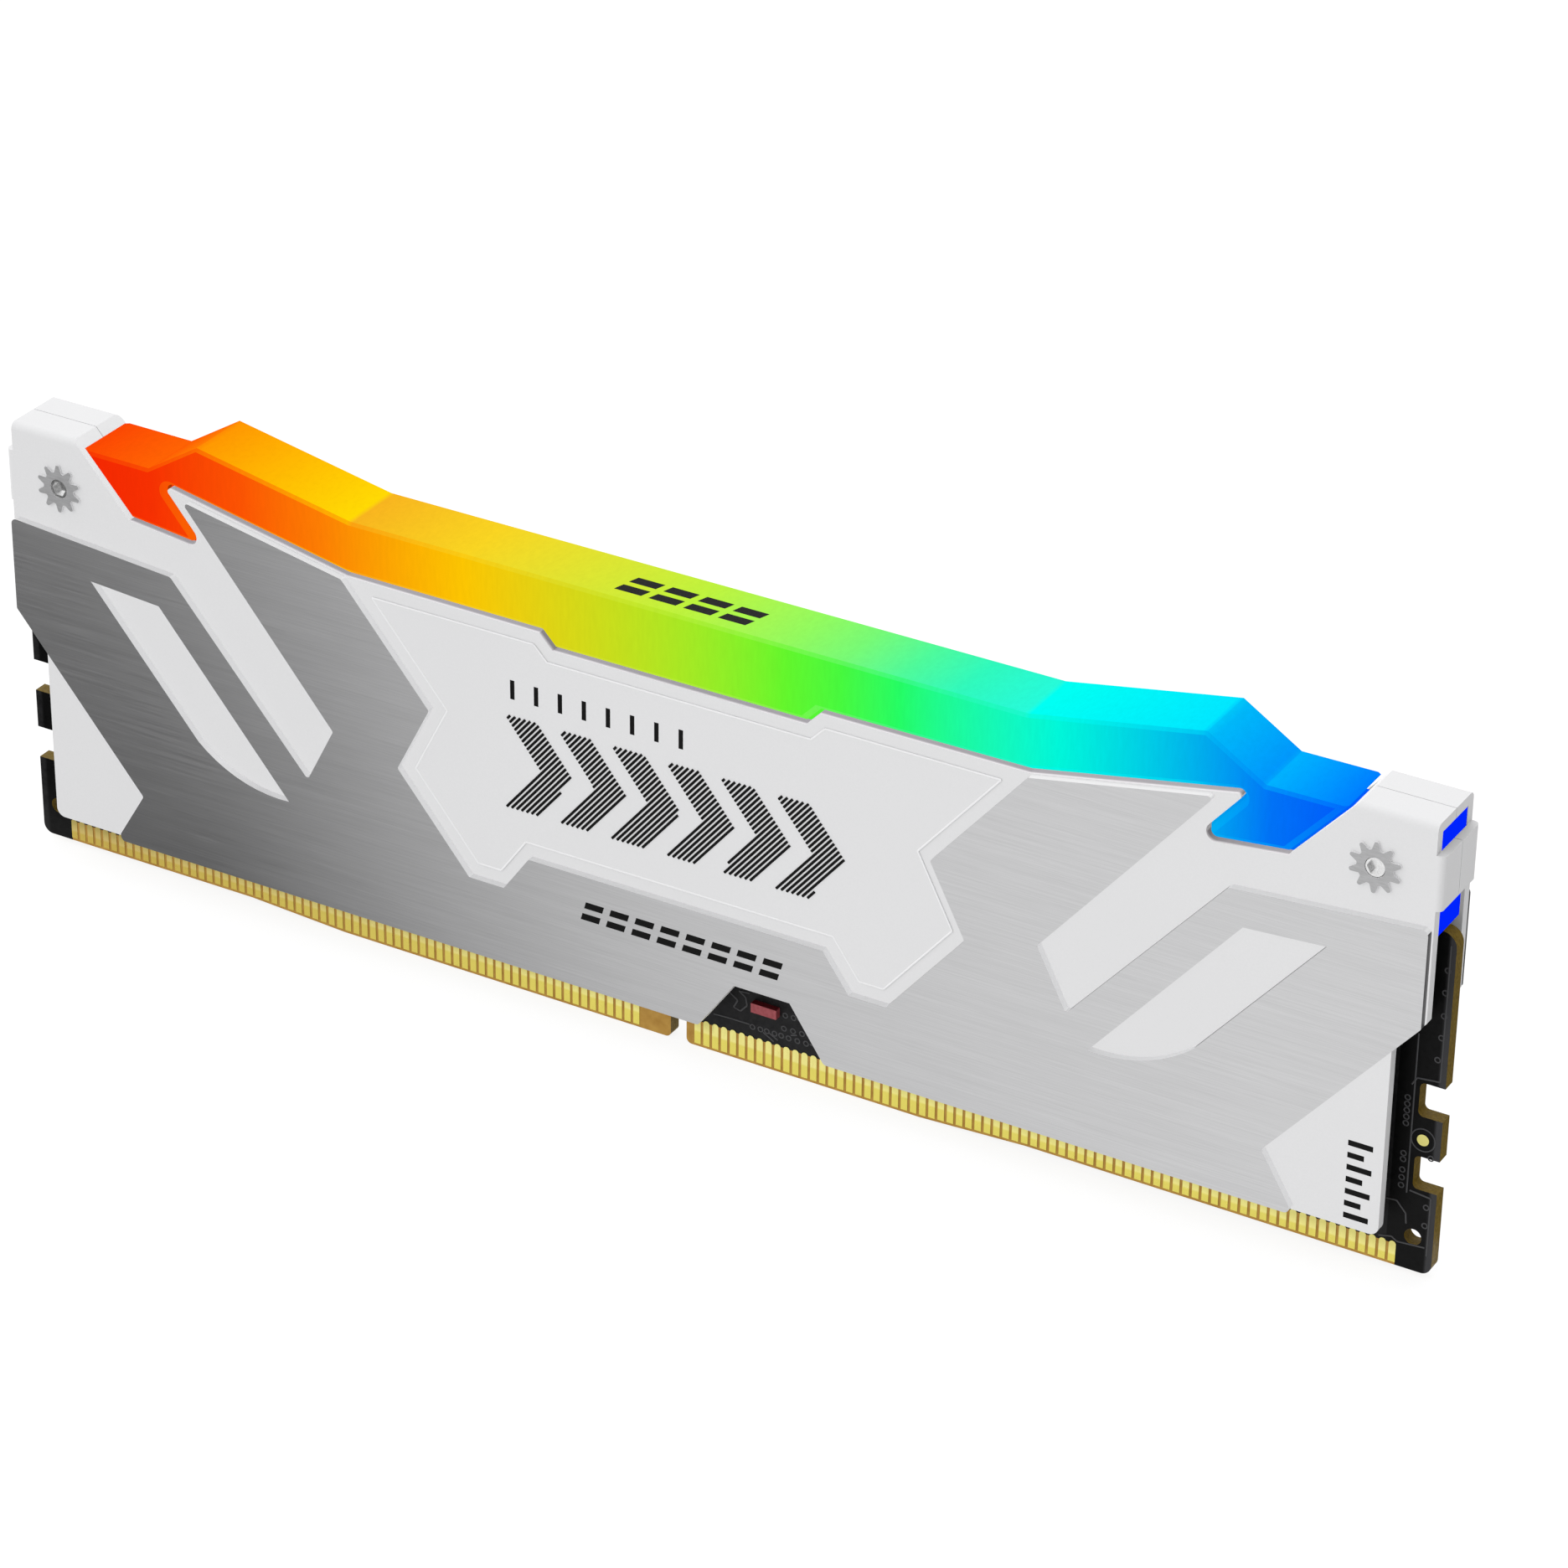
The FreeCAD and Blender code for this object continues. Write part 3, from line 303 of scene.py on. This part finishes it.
def gold_look():
    """Gold plating: paler high up, with painted shade darkening it towards the left end, and a painted
    shadow beside the plate.
    """
    look = Look("contact_gold", metallic=1.0)
    patches = look.noise((3.0, 3.0, 1.2), detail=3.0)
    low, high = lin(224, 214, 104), lin(236, 231, 146)
    shaded_end, lit_end = (0.72, 0.57, 0.56, 1.0), (1.03, 1.0, 0.99, 1.0)
    x, y, z = look.axes()
    colour = look.blend(look.remap(z, 1.35 * MM, 1.55 * MM), low, high)
    # Painted shade: the plating darkens towards the left end and brightens slightly at the right.
    end_shade = look.blend(look.remap(x, -58.0 * MM, -8.0 * MM), shaded_end, lit_end)
    colour = look.blend(1.0, colour, end_shade, "MULTIPLY")
    from_port = look.size(look.calc("SUBTRACT", x, PORT_MIDDLE * MM))
    beside_plate = look.above(from_port, PORT_HALF * MM)
    shadow = look.all_of(beside_plate, look.remap(z, 1.5 * MM, 2.3 * MM, 0.0, 0.3))
    colour = look.blend(shadow, colour, shade(low, 0.3))
    look.base(look.blend(look.remap(patches, 0.3, 0.7, 0.0, 0.25), colour, shade(low, 0.86)))
    look.rough(look.remap(patches, 0.3, 0.7, 0.26, 0.38))
    look.bump(patches, 0.08, 0.01)
    return look.material


def board_look():
    """Black mask on the faces, with painted light past the sheet's +X end and a painted shadow along
    the sheet's ends, bare laminate round the contacts, layered laminate on the edges.
    """
    look = Look("board", roughness=0.5, specular=0.1)
    grain = look.noise((2.4, 2.4, 2.4), detail=4.0)
    layers = look.noise((4.0, 24.0, 4.0), detail=3.0)
    wave = look.noise((1.2, 1.2, 1.2), detail=2.0)
    x, y, z = look.axes()
    along = look.size(x)
    on_face = look.above(look.size(look.facing()[1]), 0.6)

    mask = look.blend(look.remap(grain, 0.3, 0.7), lin(20, 20, 21), lin(34, 34, 35))
    # Painted light: the mask is lighter where the board stands out past the sheet's +X end.
    beyond_sheet = look.remap(x, (SHEET_END + 0.2) * MM, (SHEET_END + 0.5) * MM, 0.0, 0.6)
    mask = look.blend(beyond_sheet, mask, lin(66, 66, 68))
    # Painted shadow: the mask is near black along the sheet's ends.
    beside_sheet = look.all_of(
        look.remap(along, (SHEET_END + 0.45) * MM, (SHEET_END + 0.2) * MM),
        look.above(along, (SHEET_END - 3.0) * MM))
    mask = look.blend(beside_sheet, mask, lin(3, 3, 3))

    laminate = look.blend(look.remap(layers, 0.35, 0.65), lin(79, 62, 4), lin(125, 102, 30))
    bare = look.all_of(look.below(z, BARE_TOP * MM), look.below(along, BARE_END * MM), on_face)
    bare_colour = look.blend(look.remap(wave, 0.3, 0.7), lin(164, 122, 52), lin(182, 142, 68))
    look.base(look.blend(bare, look.blend(on_face, laminate, mask), bare_colour))
    look.rough(look.remap(grain, 0.3, 0.7, 0.36, 0.6))
    look.bump(grain, 0.25, 0.03)
    return look.material


# Colours of the glow at places along the bar. On top they step where the bar's outline turns.
REACH, STEP = 66.0, 0.15
FRONT_GLOW = [
    (-REACH, (238, 18, 2)), (-51, (245, 48, 2)), (-42, (250, 82, 3)), (-34, (251, 125, 3)),
    (-20, (250, 196, 2)), (10, (98, 245, 44)), (15, (70, 248, 62)), (20, (37, 251, 98)),
    (34, (1, 245, 216)), (52, (1, 114, 245)), (REACH, (0, 28, 255)),
]
TOP_GLOW = [
    (-60, (249, 60, 3)), (-VALLEY, (253, 98, 4)),
    (-PEAK - STEP, (252, 131, 5)), (-PEAK + STEP, (254, 150, 2)),
    (-KINK - STEP, (254, 216, 4)), (-KINK + STEP, (246, 179, 31)),
    (-20, (247, 211, 34)), (0, (189, 241, 61)), (10, (145, 248, 94)), (15, (118, 248, 117)),
    (20, (78, 248, 153)), (25, (48, 247, 186)),
    (KINK - STEP, (38, 248, 216)), (KINK + STEP, (1, 254, 240)),
    (PEAK - STEP, (1, 228, 253)), (PEAK + STEP, (0, 190, 251)),
    (VALLEY - STEP, (1, 155, 253)), (VALLEY + STEP, (1, 176, 253)), (60, (0, 104, 254)),
]


def glow_ramp(look, x, table):
    """Colour of the glow along the bar."""
    share = look.remap(x, -REACH * MM, REACH * MM)
    return look.ramp(share, [((place + REACH) / (2 * REACH), lin(*colour)) for place, colour in table])


def glow_look(name, top_share=1.0):
    """Lit diffuser: one colour on the upright faces, a lighter one on top, between them on bevels, and
    painted shade on walls that face sideways or down.
    """
    bevel_share = 0.42
    look = Look(name, roughness=0.4, specular=0.0)
    frost = look.noise((3.0, 1.5, 0.5), detail=3.0)
    x = look.axes()[0]
    nx, ny, nz = look.facing()
    on_bevel = look.below(look.size(ny), 0.98)
    share = look.all_of(on_bevel, look.remap(nz, 0.75, 0.9, bevel_share, 1.0), top_share)
    colour = look.blend(share, glow_ramp(look, x, FRONT_GLOW), glow_ramp(look, x, TOP_GLOW))

    # Painted shade: the bar's side and downward walls are darkened.
    underneath = look.all_of(look.below(look.size(ny), 0.3), look.below(nz, 0.3), top_share)
    tint = look.blend(look.remap(frost, 0.3, 0.7), shade(WHITE, 0.95), WHITE)
    tint = look.blend(underneath, tint, shade(WHITE, 0.4))
    colour = look.blend(1.0, colour, tint, "MULTIPLY")
    look.base(look.blend(1.0, colour, shade(WHITE, 0.05), "MULTIPLY"))
    look.glow(colour, 0.98)
    look.rough(look.remap(frost, 0.3, 0.7, 0.35, 0.5))
    return look.material


def plain_look(name, colour, per_mm, roughness, specular=0.3, depth=0.1, spread=0.12):
    """Moulded or printed surface with a fine grain."""
    look = Look(name, specular=specular)
    grain = look.noise((per_mm,) * 3, detail=4.0)
    dark, light = shade(colour, 1.0 - spread), shade(colour, 1.0 + spread)
    look.base(look.blend(look.remap(grain, 0.3, 0.7), dark, light))
    look.rough(look.remap(grain, 0.3, 0.7, roughness - 0.06, roughness + 0.08))
    look.bump(grain, depth, 0.02)
    return look.material


def sensor_look():
    """Dark red resin, darker on top than in front through painted shade."""
    look = Look("sensor_red", roughness=0.3, specular=0.3)
    nz = look.facing()[2]
    grain = look.noise((3.0, 3.0, 3.0))
    front = look.blend(look.remap(grain, 0.3, 0.7), lin(136, 54, 60), lin(158, 74, 80))
    # Painted shade: faces turned up get a darker copy of the resin's red.
    look.base(look.blend(look.remap(nz, 0.3, 0.7), front, lin(92, 20, 26)))
    look.bump(grain, 0.08, 0.01)
    return look.material


LOOKS = {
    "sheet": sheet_look(),
    "plate": plate_look(),
    "gold": gold_look(),
    "board": board_look(),
    "bar": glow_look("bar_glow"),
    "guide": glow_look("guide_glow", 0.0),
    "washer": washer_look(),
    "screw": steel_look("screw_steel", lin(226, 226, 226), (4.0, 4.0, 4.0), 0.22),
    "brass": steel_look("standoff_brass", lin(206, 176, 104), (5.0, 1.0, 5.0), 0.32),
    "chip": plain_look("chip_black", lin(34, 34, 36), 5.0, 0.55),
    "pad": plain_look("thermal_pad", lin(150, 162, 172), 2.5, 0.8, depth=0.3),
    "ferrite": plain_look("ferrite", lin(92, 92, 96), 4.0, 0.6),
    "led": plain_look("led_clear", lin(236, 236, 224), 3.0, 0.3),
    "tan": plain_look("capacitor_tan", lin(176, 146, 110), 5.0, 0.55),
    "film": plain_look("resistor_black", lin(40, 40, 42), 5.0, 0.5),
    "sensor": sensor_look(),
    # The bead's white is lighter than the sheet's: a painted highlight along the panel's rim.
    "bead": plain_look("bead_white", lin(228, 228, 229), 6.0, 0.4, depth=0.05, spread=0.02),
    "mask": plain_look("trace_mask", lin(52, 52, 54), 5.0, 0.4, specular=0.4),
    "ink": plain_look("ink_black", lin(14, 14, 14), 6.0, 0.6, specular=0.08, depth=0.05),
}


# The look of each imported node, by how its name starts.
NODE_LOOKS = {
    "pcb": "board", "light_bar": "bar", "light_guide": "guide", "contacts": "gold",
    "front_spreader": "sheet", "back_spreader": "sheet", "front_plate": "plate",
    "back_plate": "plate", "thermal": "pad", "washer": "washer", "screw": "screw",
    "standoff": "brass", "dram": "chip", "pmic": "chip", "spd": "chip", "rgb": "chip",
    "ir_sensor": "sensor", "inductors": "ferrite", "leds": "led", "capacitors": "tan",
    "resistors": "film", "fiducial": "gold",
}
for name, node in nodes_by_name.items():
    start = next(start for start in NODE_LOOKS if name.startswith(start))
    node.data.materials.clear()
    node.data.materials.append(LOOKS[NODE_LOOKS[start]])

# The lit parts throw no colour on the sheets, and the bar and plates throw no shadow on them.
for name in ("light_bar", "light_guide"):
    nodes_by_name[name].visible_diffuse = False
    nodes_by_name[name].visible_glossy = False
for name in ("light_bar", "front_plate", "back_plate"):
    nodes_by_name[name].visible_shadow = False
for name in ("front_plate", "back_plate"):
    nodes_by_name[name].visible_diffuse = False


# ---------------------------------------------------------------- mesh helpers
def half_turn(points):
    """The same points seen on the back face: a half turn about Z."""
    return [(-x, -y, z) for x, y, z in points]


def piece_from(name, draw, look, back=False):
    """Draw a piece in millimetres, scale it to metres and let it ride on the body."""
    work = bmesh.new()
    draw(work, back)
    bmesh.ops.recalc_face_normals(work, faces=work.faces)
    bmesh.ops.scale(work, vec=(MM, MM, MM), verts=work.verts)
    mesh = bpy.data.meshes.new(name)
    work.to_mesh(mesh)
    work.free()
    piece = bpy.data.objects.new(name, mesh)
    bpy.context.scene.collection.objects.link(piece)
    mesh.materials.append(LOOKS[look])
    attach(piece, "root")


def both_sides(look, slot, *drawings):
    """Make the drawn pieces for the front, then their twins, turned half round, for the back."""
    for side, back in (("front", False), ("back", True)):
        for draw in drawings:
            piece_from(f"{draw.__name__}_{side}", draw, look, back)


def close_prism(work, rings):
    """Close the space between two rings of points with two ends and a wall."""
    near, far = [[work.verts.new(point) for point in ring] for ring in rings]
    count = len(near)
    work.faces.new(near)
    work.faces.new(list(reversed(far)))
    for k in range(count):
        follower = (k + 1) % count
        work.faces.new((near[follower], near[k], far[k], far[follower]))


def prism(work, outline, inner, outer, back):
    """Closed prism between two distances from the middle plane."""
    rings = [[(x, -depth, z) for x, z in outline] for depth in (inner, outer)]
    close_prism(work, [half_turn(ring) for ring in rings] if back else rings)


def printed(work, outline, face, back):
    """A printed mark, sunk a little in its face so that nothing shows under it."""
    prism(work, outline, face - SUNK, face + INK, back)


def ridge(work, start, end, width, height, face, back):
    """Round-backed bar lying on a face."""
    steps, root = 6, 0.02
    along = (end - start).normalized()
    across = Vector((-along.y, along.x))
    rings = []
    for place in (start, end):
        ring = []
        for step in range(steps + 1):
            angle = math.pi * step / steps
            flat = place + across * (math.cos(angle) * width / 2)
            ring.append((flat.x, -(face - root + (root + height) * math.sin(angle)), flat.y))
        if back:
            ring = half_turn(ring)
        rings.append([work.verts.new(point) for point in ring])
    for k in range(steps):
        work.faces.new((rings[0][k], rings[0][k + 1], rings[1][k + 1], rings[1][k]))
    work.faces.new((rings[0][0], rings[1][0], rings[1][-1], rings[0][-1]))
    work.faces.new(list(reversed(rings[0])))
    work.faces.new(rings[1])


# ---------------------------------------------------------------- hatched emblem on the panel
EMBLEM_LEFT, EMBLEM_LOW, EMBLEM_HIGH = -16.4, 19.1, 27.7
CHEVRONS, CHEVRON_PITCH, CHEVRON_THICK, CHEVRON_POINT = 6, 5.1, 3.1, 3.4
HATCH_PITCH, HATCH_WIDTH, HATCH_HEIGHT, HATCH_ANGLE = 0.37, 0.25, 0.07, math.radians(50)


def chevron(left):
    """Arrow-shaped stroke that points along +X."""
    middle = (EMBLEM_LOW + EMBLEM_HIGH) / 2
    return [
        (left, EMBLEM_HIGH), (left + CHEVRON_THICK, EMBLEM_HIGH),
        (left + CHEVRON_THICK + CHEVRON_POINT, middle), (left + CHEVRON_THICK, EMBLEM_LOW),
        (left, EMBLEM_LOW), (left + CHEVRON_POINT, middle),
    ]


def hatch(outline, angle, pitch):
    """Cut a shape into parallel strokes and return the two ends of each."""
    nudge, shortest = 1e-5, 0.3
    along = Vector((math.cos(angle), math.sin(angle)))
    across = Vector((-math.sin(angle), math.cos(angle)))
    corners = [Vector(point) for point in outline]
    offsets = [corner.dot(across) for corner in corners]
    strokes = []
    for number in range(math.ceil(min(offsets) / pitch), math.floor(max(offsets) / pitch) + 1):
        level = number * pitch + nudge
        cuts = []
        for here, there in zip(corners, corners[1:] + corners[:1]):
            low, high = here.dot(across) - level, there.dot(across) - level
            if (low < 0) != (high < 0):
                cuts.append((here + (there - here) * (low / (low - high))).dot(along))
        cuts.sort()
        for start, end in zip(cuts[::2], cuts[1::2]):
            if end - start > shortest:
                strokes.append((along * start + across * level, along * end + across * level))
    return strokes


def emblem(work, back):
    """A row of hatched chevrons."""
    for number in range(CHEVRONS):
        outline = chevron(EMBLEM_LEFT + number * CHEVRON_PITCH)
        for start, end in hatch(outline, HATCH_ANGLE, HATCH_PITCH):
            ridge(work, start, end, HATCH_WIDTH, HATCH_HEIGHT, PANEL_FACE, back)


both_sides("ink", "chip_black", emblem)


# ---------------------------------------------------------------- printed marks
TICKS, TICK_LEFT, TICK_LOW, TICK_PITCH = 8, -15.85, 29.25, 2.28
TICK_WIDTH, TICK_HEIGHT = 0.42, 1.75
DASHES, DASH_LEFT, DASH_LOW, DASH_PITCH, DASH_ROW = 8, -8.9, 10.95, 2.42, 1.12
DASH_WIDTH, DASH_HEIGHT, DASH_LEAN, DASH_SLANT = 1.75, 0.62, 0.18, 0.3
RUNGS, RUNG_LEFT, RUNG_LOW, RUNG_PITCH = 7, 60.1, 5.2, 1.1
RUNG_WIDTHS, RUNG_HEIGHT = (2.1, 1.4), 0.5
BLOCKS, BLOCK_LEFT, BLOCK_NEAR, BLOCK_PITCH, BLOCK_ROW = 4, -6.7, -1.9, 3.2, 1.6
BLOCK_WIDTH, BLOCK_DEEP, BLOCK_LEAN, BLOCK_SLANT, BLOCK_INK = 2.5, 1.0, 0.3, 0.25, 0.01


def slanted(left, low, width, height, lean=0.0):
    """Corners of a bar that leans to the right."""
    right, high = left + width, low + height
    return [(left, low), (right, low), (right + lean, high), (left + lean, high)]


def panel_marks(work, back):
    """A row of upright ticks over the emblem."""
    for number in range(TICKS):
        left = TICK_LEFT + number * TICK_PITCH
        printed(work, slanted(left, TICK_LOW, TICK_WIDTH, TICK_HEIGHT), PANEL_FACE, back)


def plate_marks(work, back):
    """Two rows of leaning dashes under the panel."""
    for number in range(DASHES):
        for row in (0.0, DASH_ROW):
            left = DASH_LEFT + number * DASH_PITCH + row * DASH_SLANT
            dash = slanted(left, DASH_LOW + row, DASH_WIDTH, DASH_HEIGHT, DASH_LEAN)
            printed(work, dash, PLATE_FACE, back)


def end_marks(work, back):
    """A ladder of long and short bars at the end of the sheet."""
    for number in range(RUNGS):
        low, width = RUNG_LOW + number * RUNG_PITCH, RUNG_WIDTHS[number % 2]
        printed(work, slanted(RUNG_LEFT, low, width, RUNG_HEIGHT), SHEET_FACE, back)


def bar_marks(work, back):
    """Two rows of leaning blocks on the bar's level top, where there is only one side."""
    for number in range(BLOCKS):
        for row in (0.0, BLOCK_ROW):
            left = BLOCK_LEFT + number * BLOCK_PITCH + row * BLOCK_SLANT
            corners = slanted(left, BLOCK_NEAR + row, BLOCK_WIDTH, BLOCK_DEEP, BLOCK_LEAN)
            heights = (BAR_TOP - SUNK, BAR_TOP + BLOCK_INK)
            close_prism(work, [[(x, y, z) for x, y in corners] for z in heights])


both_sides("ink", "chip_black", panel_marks, plate_marks, end_marks)
piece_from("bar_marks", bar_marks, "ink")


# ---------------------------------------------------------------- traces and vias on the board
TRACE_WIDTH, TRACE_HEIGHT, VIA_RADIUS, VIA_WIRE = 0.16, 0.05, 0.22, 0.06
PORT_VIAS = [
    (8.75, 5.62), (9.54, 5.64), (8.64, 4.33), (9.5, 4.36), (10.35, 4.37), (5.66, 3.53),
    (6.42, 3.54), (7.03, 3.56), (7.76, 3.56), (8.39, 3.57), (9.09, 3.54), (9.92, 3.55),
    (10.74, 3.56), (12.3, 3.6), (4.9, 7.4),
]
PORT_TRACES = [
    [(1.94, 3.62), (3.35, 3.69), (5.4, 3.7)], [(6.68, 3.34), (7.7, 2.77)],
    [(7.19, 3.5), (8.08, 3.02)],
    [(3.46, 6.18), (4.24, 5.65), (3.86, 4.89), (4.5, 4.7), (5.13, 5.42), (5.0, 6.15),
     (4.36, 6.59), (5.38, 6.66)],
    [(4.9, 7.9), (5.6, 8.3), (6.4, 8.1), (6.9, 8.6)], [(5.4, 7.5), (6.1, 7.2), (6.6, 7.6)],
    [(9.9, 5.64), (10.6, 5.5), (11.2, 4.9)], [(9.3, 3.9), (9.9, 4.1)], [(11.1, 3.6), (11.9, 3.6)],
]
END_VIAS = [
    (66.09, 27.97), (66.03, 25.99), (66.08, 23.96), (66.01, 22.0), (65.84, 19.99), (65.93, 11.1),
    (65.87, 6.58), (65.86, 4.9), (63.65, 15.93), (63.65, 15.34), (63.65, 14.77), (63.65, 14.18),
    (63.65, 13.59), (63.65, 10.86), (63.65, 10.31), (63.65, 9.35), (63.65, 8.65), (63.65, 7.94),
]
END_TRACES = [
    [(64.15, 21.85), (64.15, 7.42)], [(62.52, 6.37), (63.39, 6.43), (64.21, 5.53), (64.31, 4.6)],
    [(62.11, 2.77), (63.19, 3.03), (63.65, 2.71), (66.0, 2.9)],
    [(66.2, 30.2), (66.2, 18.1), (64.3, 17.9), (63.9, 17.2)], [(66.2, 2.2), (66.2, 7.5), (64.4, 7.7)],
]
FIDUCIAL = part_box("fiducial")
FIDUCIAL_RING = 1.0


def ring_wire(work, centre, radius, back):
    """Flattened wire in a ring, half sunk into the board's face."""
    turns, sides, flatness = 24, 8, 0.6
    loops = []
    for turn in range(turns):
        angle = 2 * math.pi * turn / turns
        loop = []
        for side in range(sides):
            around = 2 * math.pi * side / sides
            reach = radius + VIA_WIRE * math.cos(around)
            depth = BOARD_FACE + VIA_WIRE * flatness * math.sin(around)
            x, z = centre[0] + reach * math.cos(angle), centre[1] + reach * math.sin(angle)
            loop.append((x, -depth, z))
        if back:
            loop = half_turn(loop)
        loops.append([work.verts.new(point) for point in loop])
    for turn in range(turns):
        here, there = loops[turn], loops[(turn + 1) % turns]
        for side in range(sides):
            follower = (side + 1) % sides
            work.faces.new((here[side], here[follower], there[follower], there[side]))


def board_relief(work, back):
    """Vias and traces round the sensor port and at the end, and the ring round the fiducial."""
    for centre in PORT_VIAS + END_VIAS:
        ring_wire(work, centre, VIA_RADIUS, back)
    middle = (FIDUCIAL[0] + FIDUCIAL[1]) / (2 * MM)
    ring_wire(work, (middle.x, middle.z), FIDUCIAL_RING, back)
    for line in PORT_TRACES + END_TRACES:
        for start, end in zip(line, line[1:]):
            ridge(work, Vector(start), Vector(end), TRACE_WIDTH, TRACE_HEIGHT, BOARD_FACE, back)


both_sides("mask", "board", board_relief)


# ---------------------------------------------------------------- pressed bead round the raised panel
BEAD_WIDTH, BEAD_HEIGHT, SHORTEST_BEAD = 0.18, 0.03, 0.01
ON_PANEL = 0.001


def panel_loop():
    """Corners of the raised panel, read from the flat face of the front sheet."""
    node = nodes_by_name["front_spreader"]
    mesh = node.data
    rim = set()
    for polygon in mesh.polygons:
        points = [node.matrix_world @ mesh.vertices[k].co for k in polygon.vertices]
        if max(abs(-point.y / MM - PANEL_FACE) for point in points) > ON_PANEL:
            continue
        keys = [(round(point.x / MM, 3), round(point.z / MM, 3)) for point in points]
        for a, b in zip(keys, keys[1:] + keys[:1]):
            if (b, a) in rim:
                rim.remove((b, a))
            else:
                rim.add((a, b))
    after = dict(rim)
    start = min(after)
    loop = [start]
    while after[loop[-1]] != start:
        loop.append(after[loop[-1]])
    return loop


PANEL_LOOP = panel_loop()


def panel_bead(work, back):
    """A low round edge along the outline of the raised panel."""
    for start, end in zip(PANEL_LOOP, PANEL_LOOP[1:] + PANEL_LOOP[:1]):
        start, end = Vector(start), Vector(end)
        if (end - start).length > SHORTEST_BEAD:
            ridge(work, start, end, BEAD_WIDTH, BEAD_HEIGHT, PANEL_FACE, back)


both_sides("bead", "white_sheet", panel_bead)


# ---------------------------------------------------------------- stage, in metres
FLOOR_REACH, FLOOR_LEVEL = 6.0, -0.00002
FLOOR_BASE, FLOOR_GLOW = 0.18, 0.86


def new_object(name, data):
    """An object in the scene that holds the given data."""
    thing = bpy.data.objects.new(name, data)
    bpy.context.scene.collection.objects.link(thing)
    return thing


def plane_mesh(name, x_range, y_range, z):
    """A level rectangle."""
    work = bmesh.new()
    left, right = x_range
    near, far = y_range
    corners = [(left, near, z), (right, near, z), (right, far, z), (left, far, z)]
    work.faces.new([work.verts.new(corner) for corner in corners])
    mesh = bpy.data.meshes.new(name)
    work.to_mesh(mesh)
    work.free()
    return mesh


floor_range = (-FLOOR_REACH, FLOOR_REACH)
floor = new_object("floor", plane_mesh("floor", floor_range, floor_range, FLOOR_LEVEL))
floor_look = Look("floor_pale", roughness=0.9, specular=0.0)
floor_look.base(shade(WHITE, FLOOR_BASE))
floor_look.glow(WHITE, FLOOR_GLOW)
floor.data.materials.append(floor_look.material)

# The cards' tones run along a line that leans from X towards Y.
CARD_REACH, CARD_NEAR, CARD_FAR, CARD_LEVEL = 0.5, 0.0045, 0.5, 0.0002
CARD_START, CARD_LENGTH, CARD_SLANT = -0.0514, 0.12, 0.94
CARD_TONES = [
    (0.04, 0.12), (0.09, 0.13), (0.125, 0.17), (0.208, 0.32), (0.29, 0.46), (0.375, 0.60),
    (0.458, 0.74), (0.625, 0.88), (0.875, 0.96), (1.0, 1.0),
]


def reflection_card(name, sign):
    """Graded card on the floor that only reflections see; sign is 1 in front and -1 behind."""
    depths = (-CARD_FAR, -CARD_NEAR) if sign > 0 else (CARD_NEAR, CARD_FAR)
    card = new_object(name, plane_mesh(name, (-CARD_REACH, CARD_REACH), depths, CARD_LEVEL))
    look = Look(f"{name}_tone", roughness=1.0, specular=0.0)
    x, y, z = look.axes()
    leaning = look.calc("SUBTRACT", x, look.calc("MULTIPLY", y, CARD_SLANT))
    along = look.calc("MULTIPLY", leaning, sign)
    place = look.remap(along, CARD_START, CARD_START + CARD_LENGTH)
    look.base(shade(WHITE, 0.0))
    look.glow(look.ramp(place, [(stop, shade(WHITE, tone)) for stop, tone in CARD_TONES]), 1.0)
    card.data.materials.append(look.material)
    card.visible_camera = False
    card.visible_diffuse = False
    card.visible_shadow = False
    card.visible_transmission = False


reflection_card("front_card", 1.0)
reflection_card("back_card", -1.0)

# ---------------------------------------------------------------- sky
# The sky's strength rises with height and towards -X, and has a least value.
SKY_LEVEL, SKY_RISE, SKY_SIDE, SKY_LEAST = 0.74, 0.75, -0.76, 0.05
world = bpy.data.worlds.new("studio")
bpy.context.scene.world = world
world.use_nodes = True
sky = world.node_tree
coordinate = sky.nodes.new("ShaderNodeTexCoord")
split = sky.nodes.new("ShaderNodeSeparateXYZ")
sky.links.new(coordinate.outputs["Generated"], split.inputs[0])


def sky_math(operation, a, b):
    """One step of arithmetic in the sky's nodes."""
    node = sky.nodes.new("ShaderNodeMath")
    node.operation = operation
    for socket, value in zip(node.inputs, (a, b)):
        if isinstance(value, bpy.types.NodeSocket):
            sky.links.new(value, socket)
        else:
            socket.default_value = value
    return node.outputs[0]


rise = sky_math("MULTIPLY", split.outputs[2], SKY_RISE)
side = sky_math("MULTIPLY", split.outputs[0], SKY_SIDE)
strength = sky_math("ADD", sky_math("ADD", rise, side), SKY_LEVEL)
background = sky.nodes["Background"]
sky.links.new(sky_math("MAXIMUM", strength, SKY_LEAST), background.inputs["Strength"])
background.inputs["Color"].default_value = WHITE

# ---------------------------------------------------------------- camera
CAMERA_PLACE = Vector((0.200650, -0.333630, 0.243347))
CAMERA_RIGHT = Vector((0.86175, 0.50727, 0.00861))
CAMERA_FORWARD = Vector((-0.43841, 0.75309, -0.49056))
SENSOR_WIDTH, LENS = 36.0, 127.09
SHIFT_X, SHIFT_Y = 0.0109, 0.0019

camera_up = CAMERA_RIGHT.cross(CAMERA_FORWARD).normalized()
turn = Matrix((CAMERA_RIGHT, camera_up, -CAMERA_FORWARD)).transposed().to_4x4()
camera = new_object("camera", bpy.data.cameras.new("camera"))
camera.matrix_world = Matrix.Translation(CAMERA_PLACE) @ turn
camera.data.sensor_width = SENSOR_WIDTH
camera.data.lens = LENS
camera.data.shift_x = SHIFT_X
camera.data.shift_y = SHIFT_Y
camera.data.clip_start = 0.01
bpy.context.scene.camera = camera
bpy.context.scene.view_settings.view_transform = "Standard"
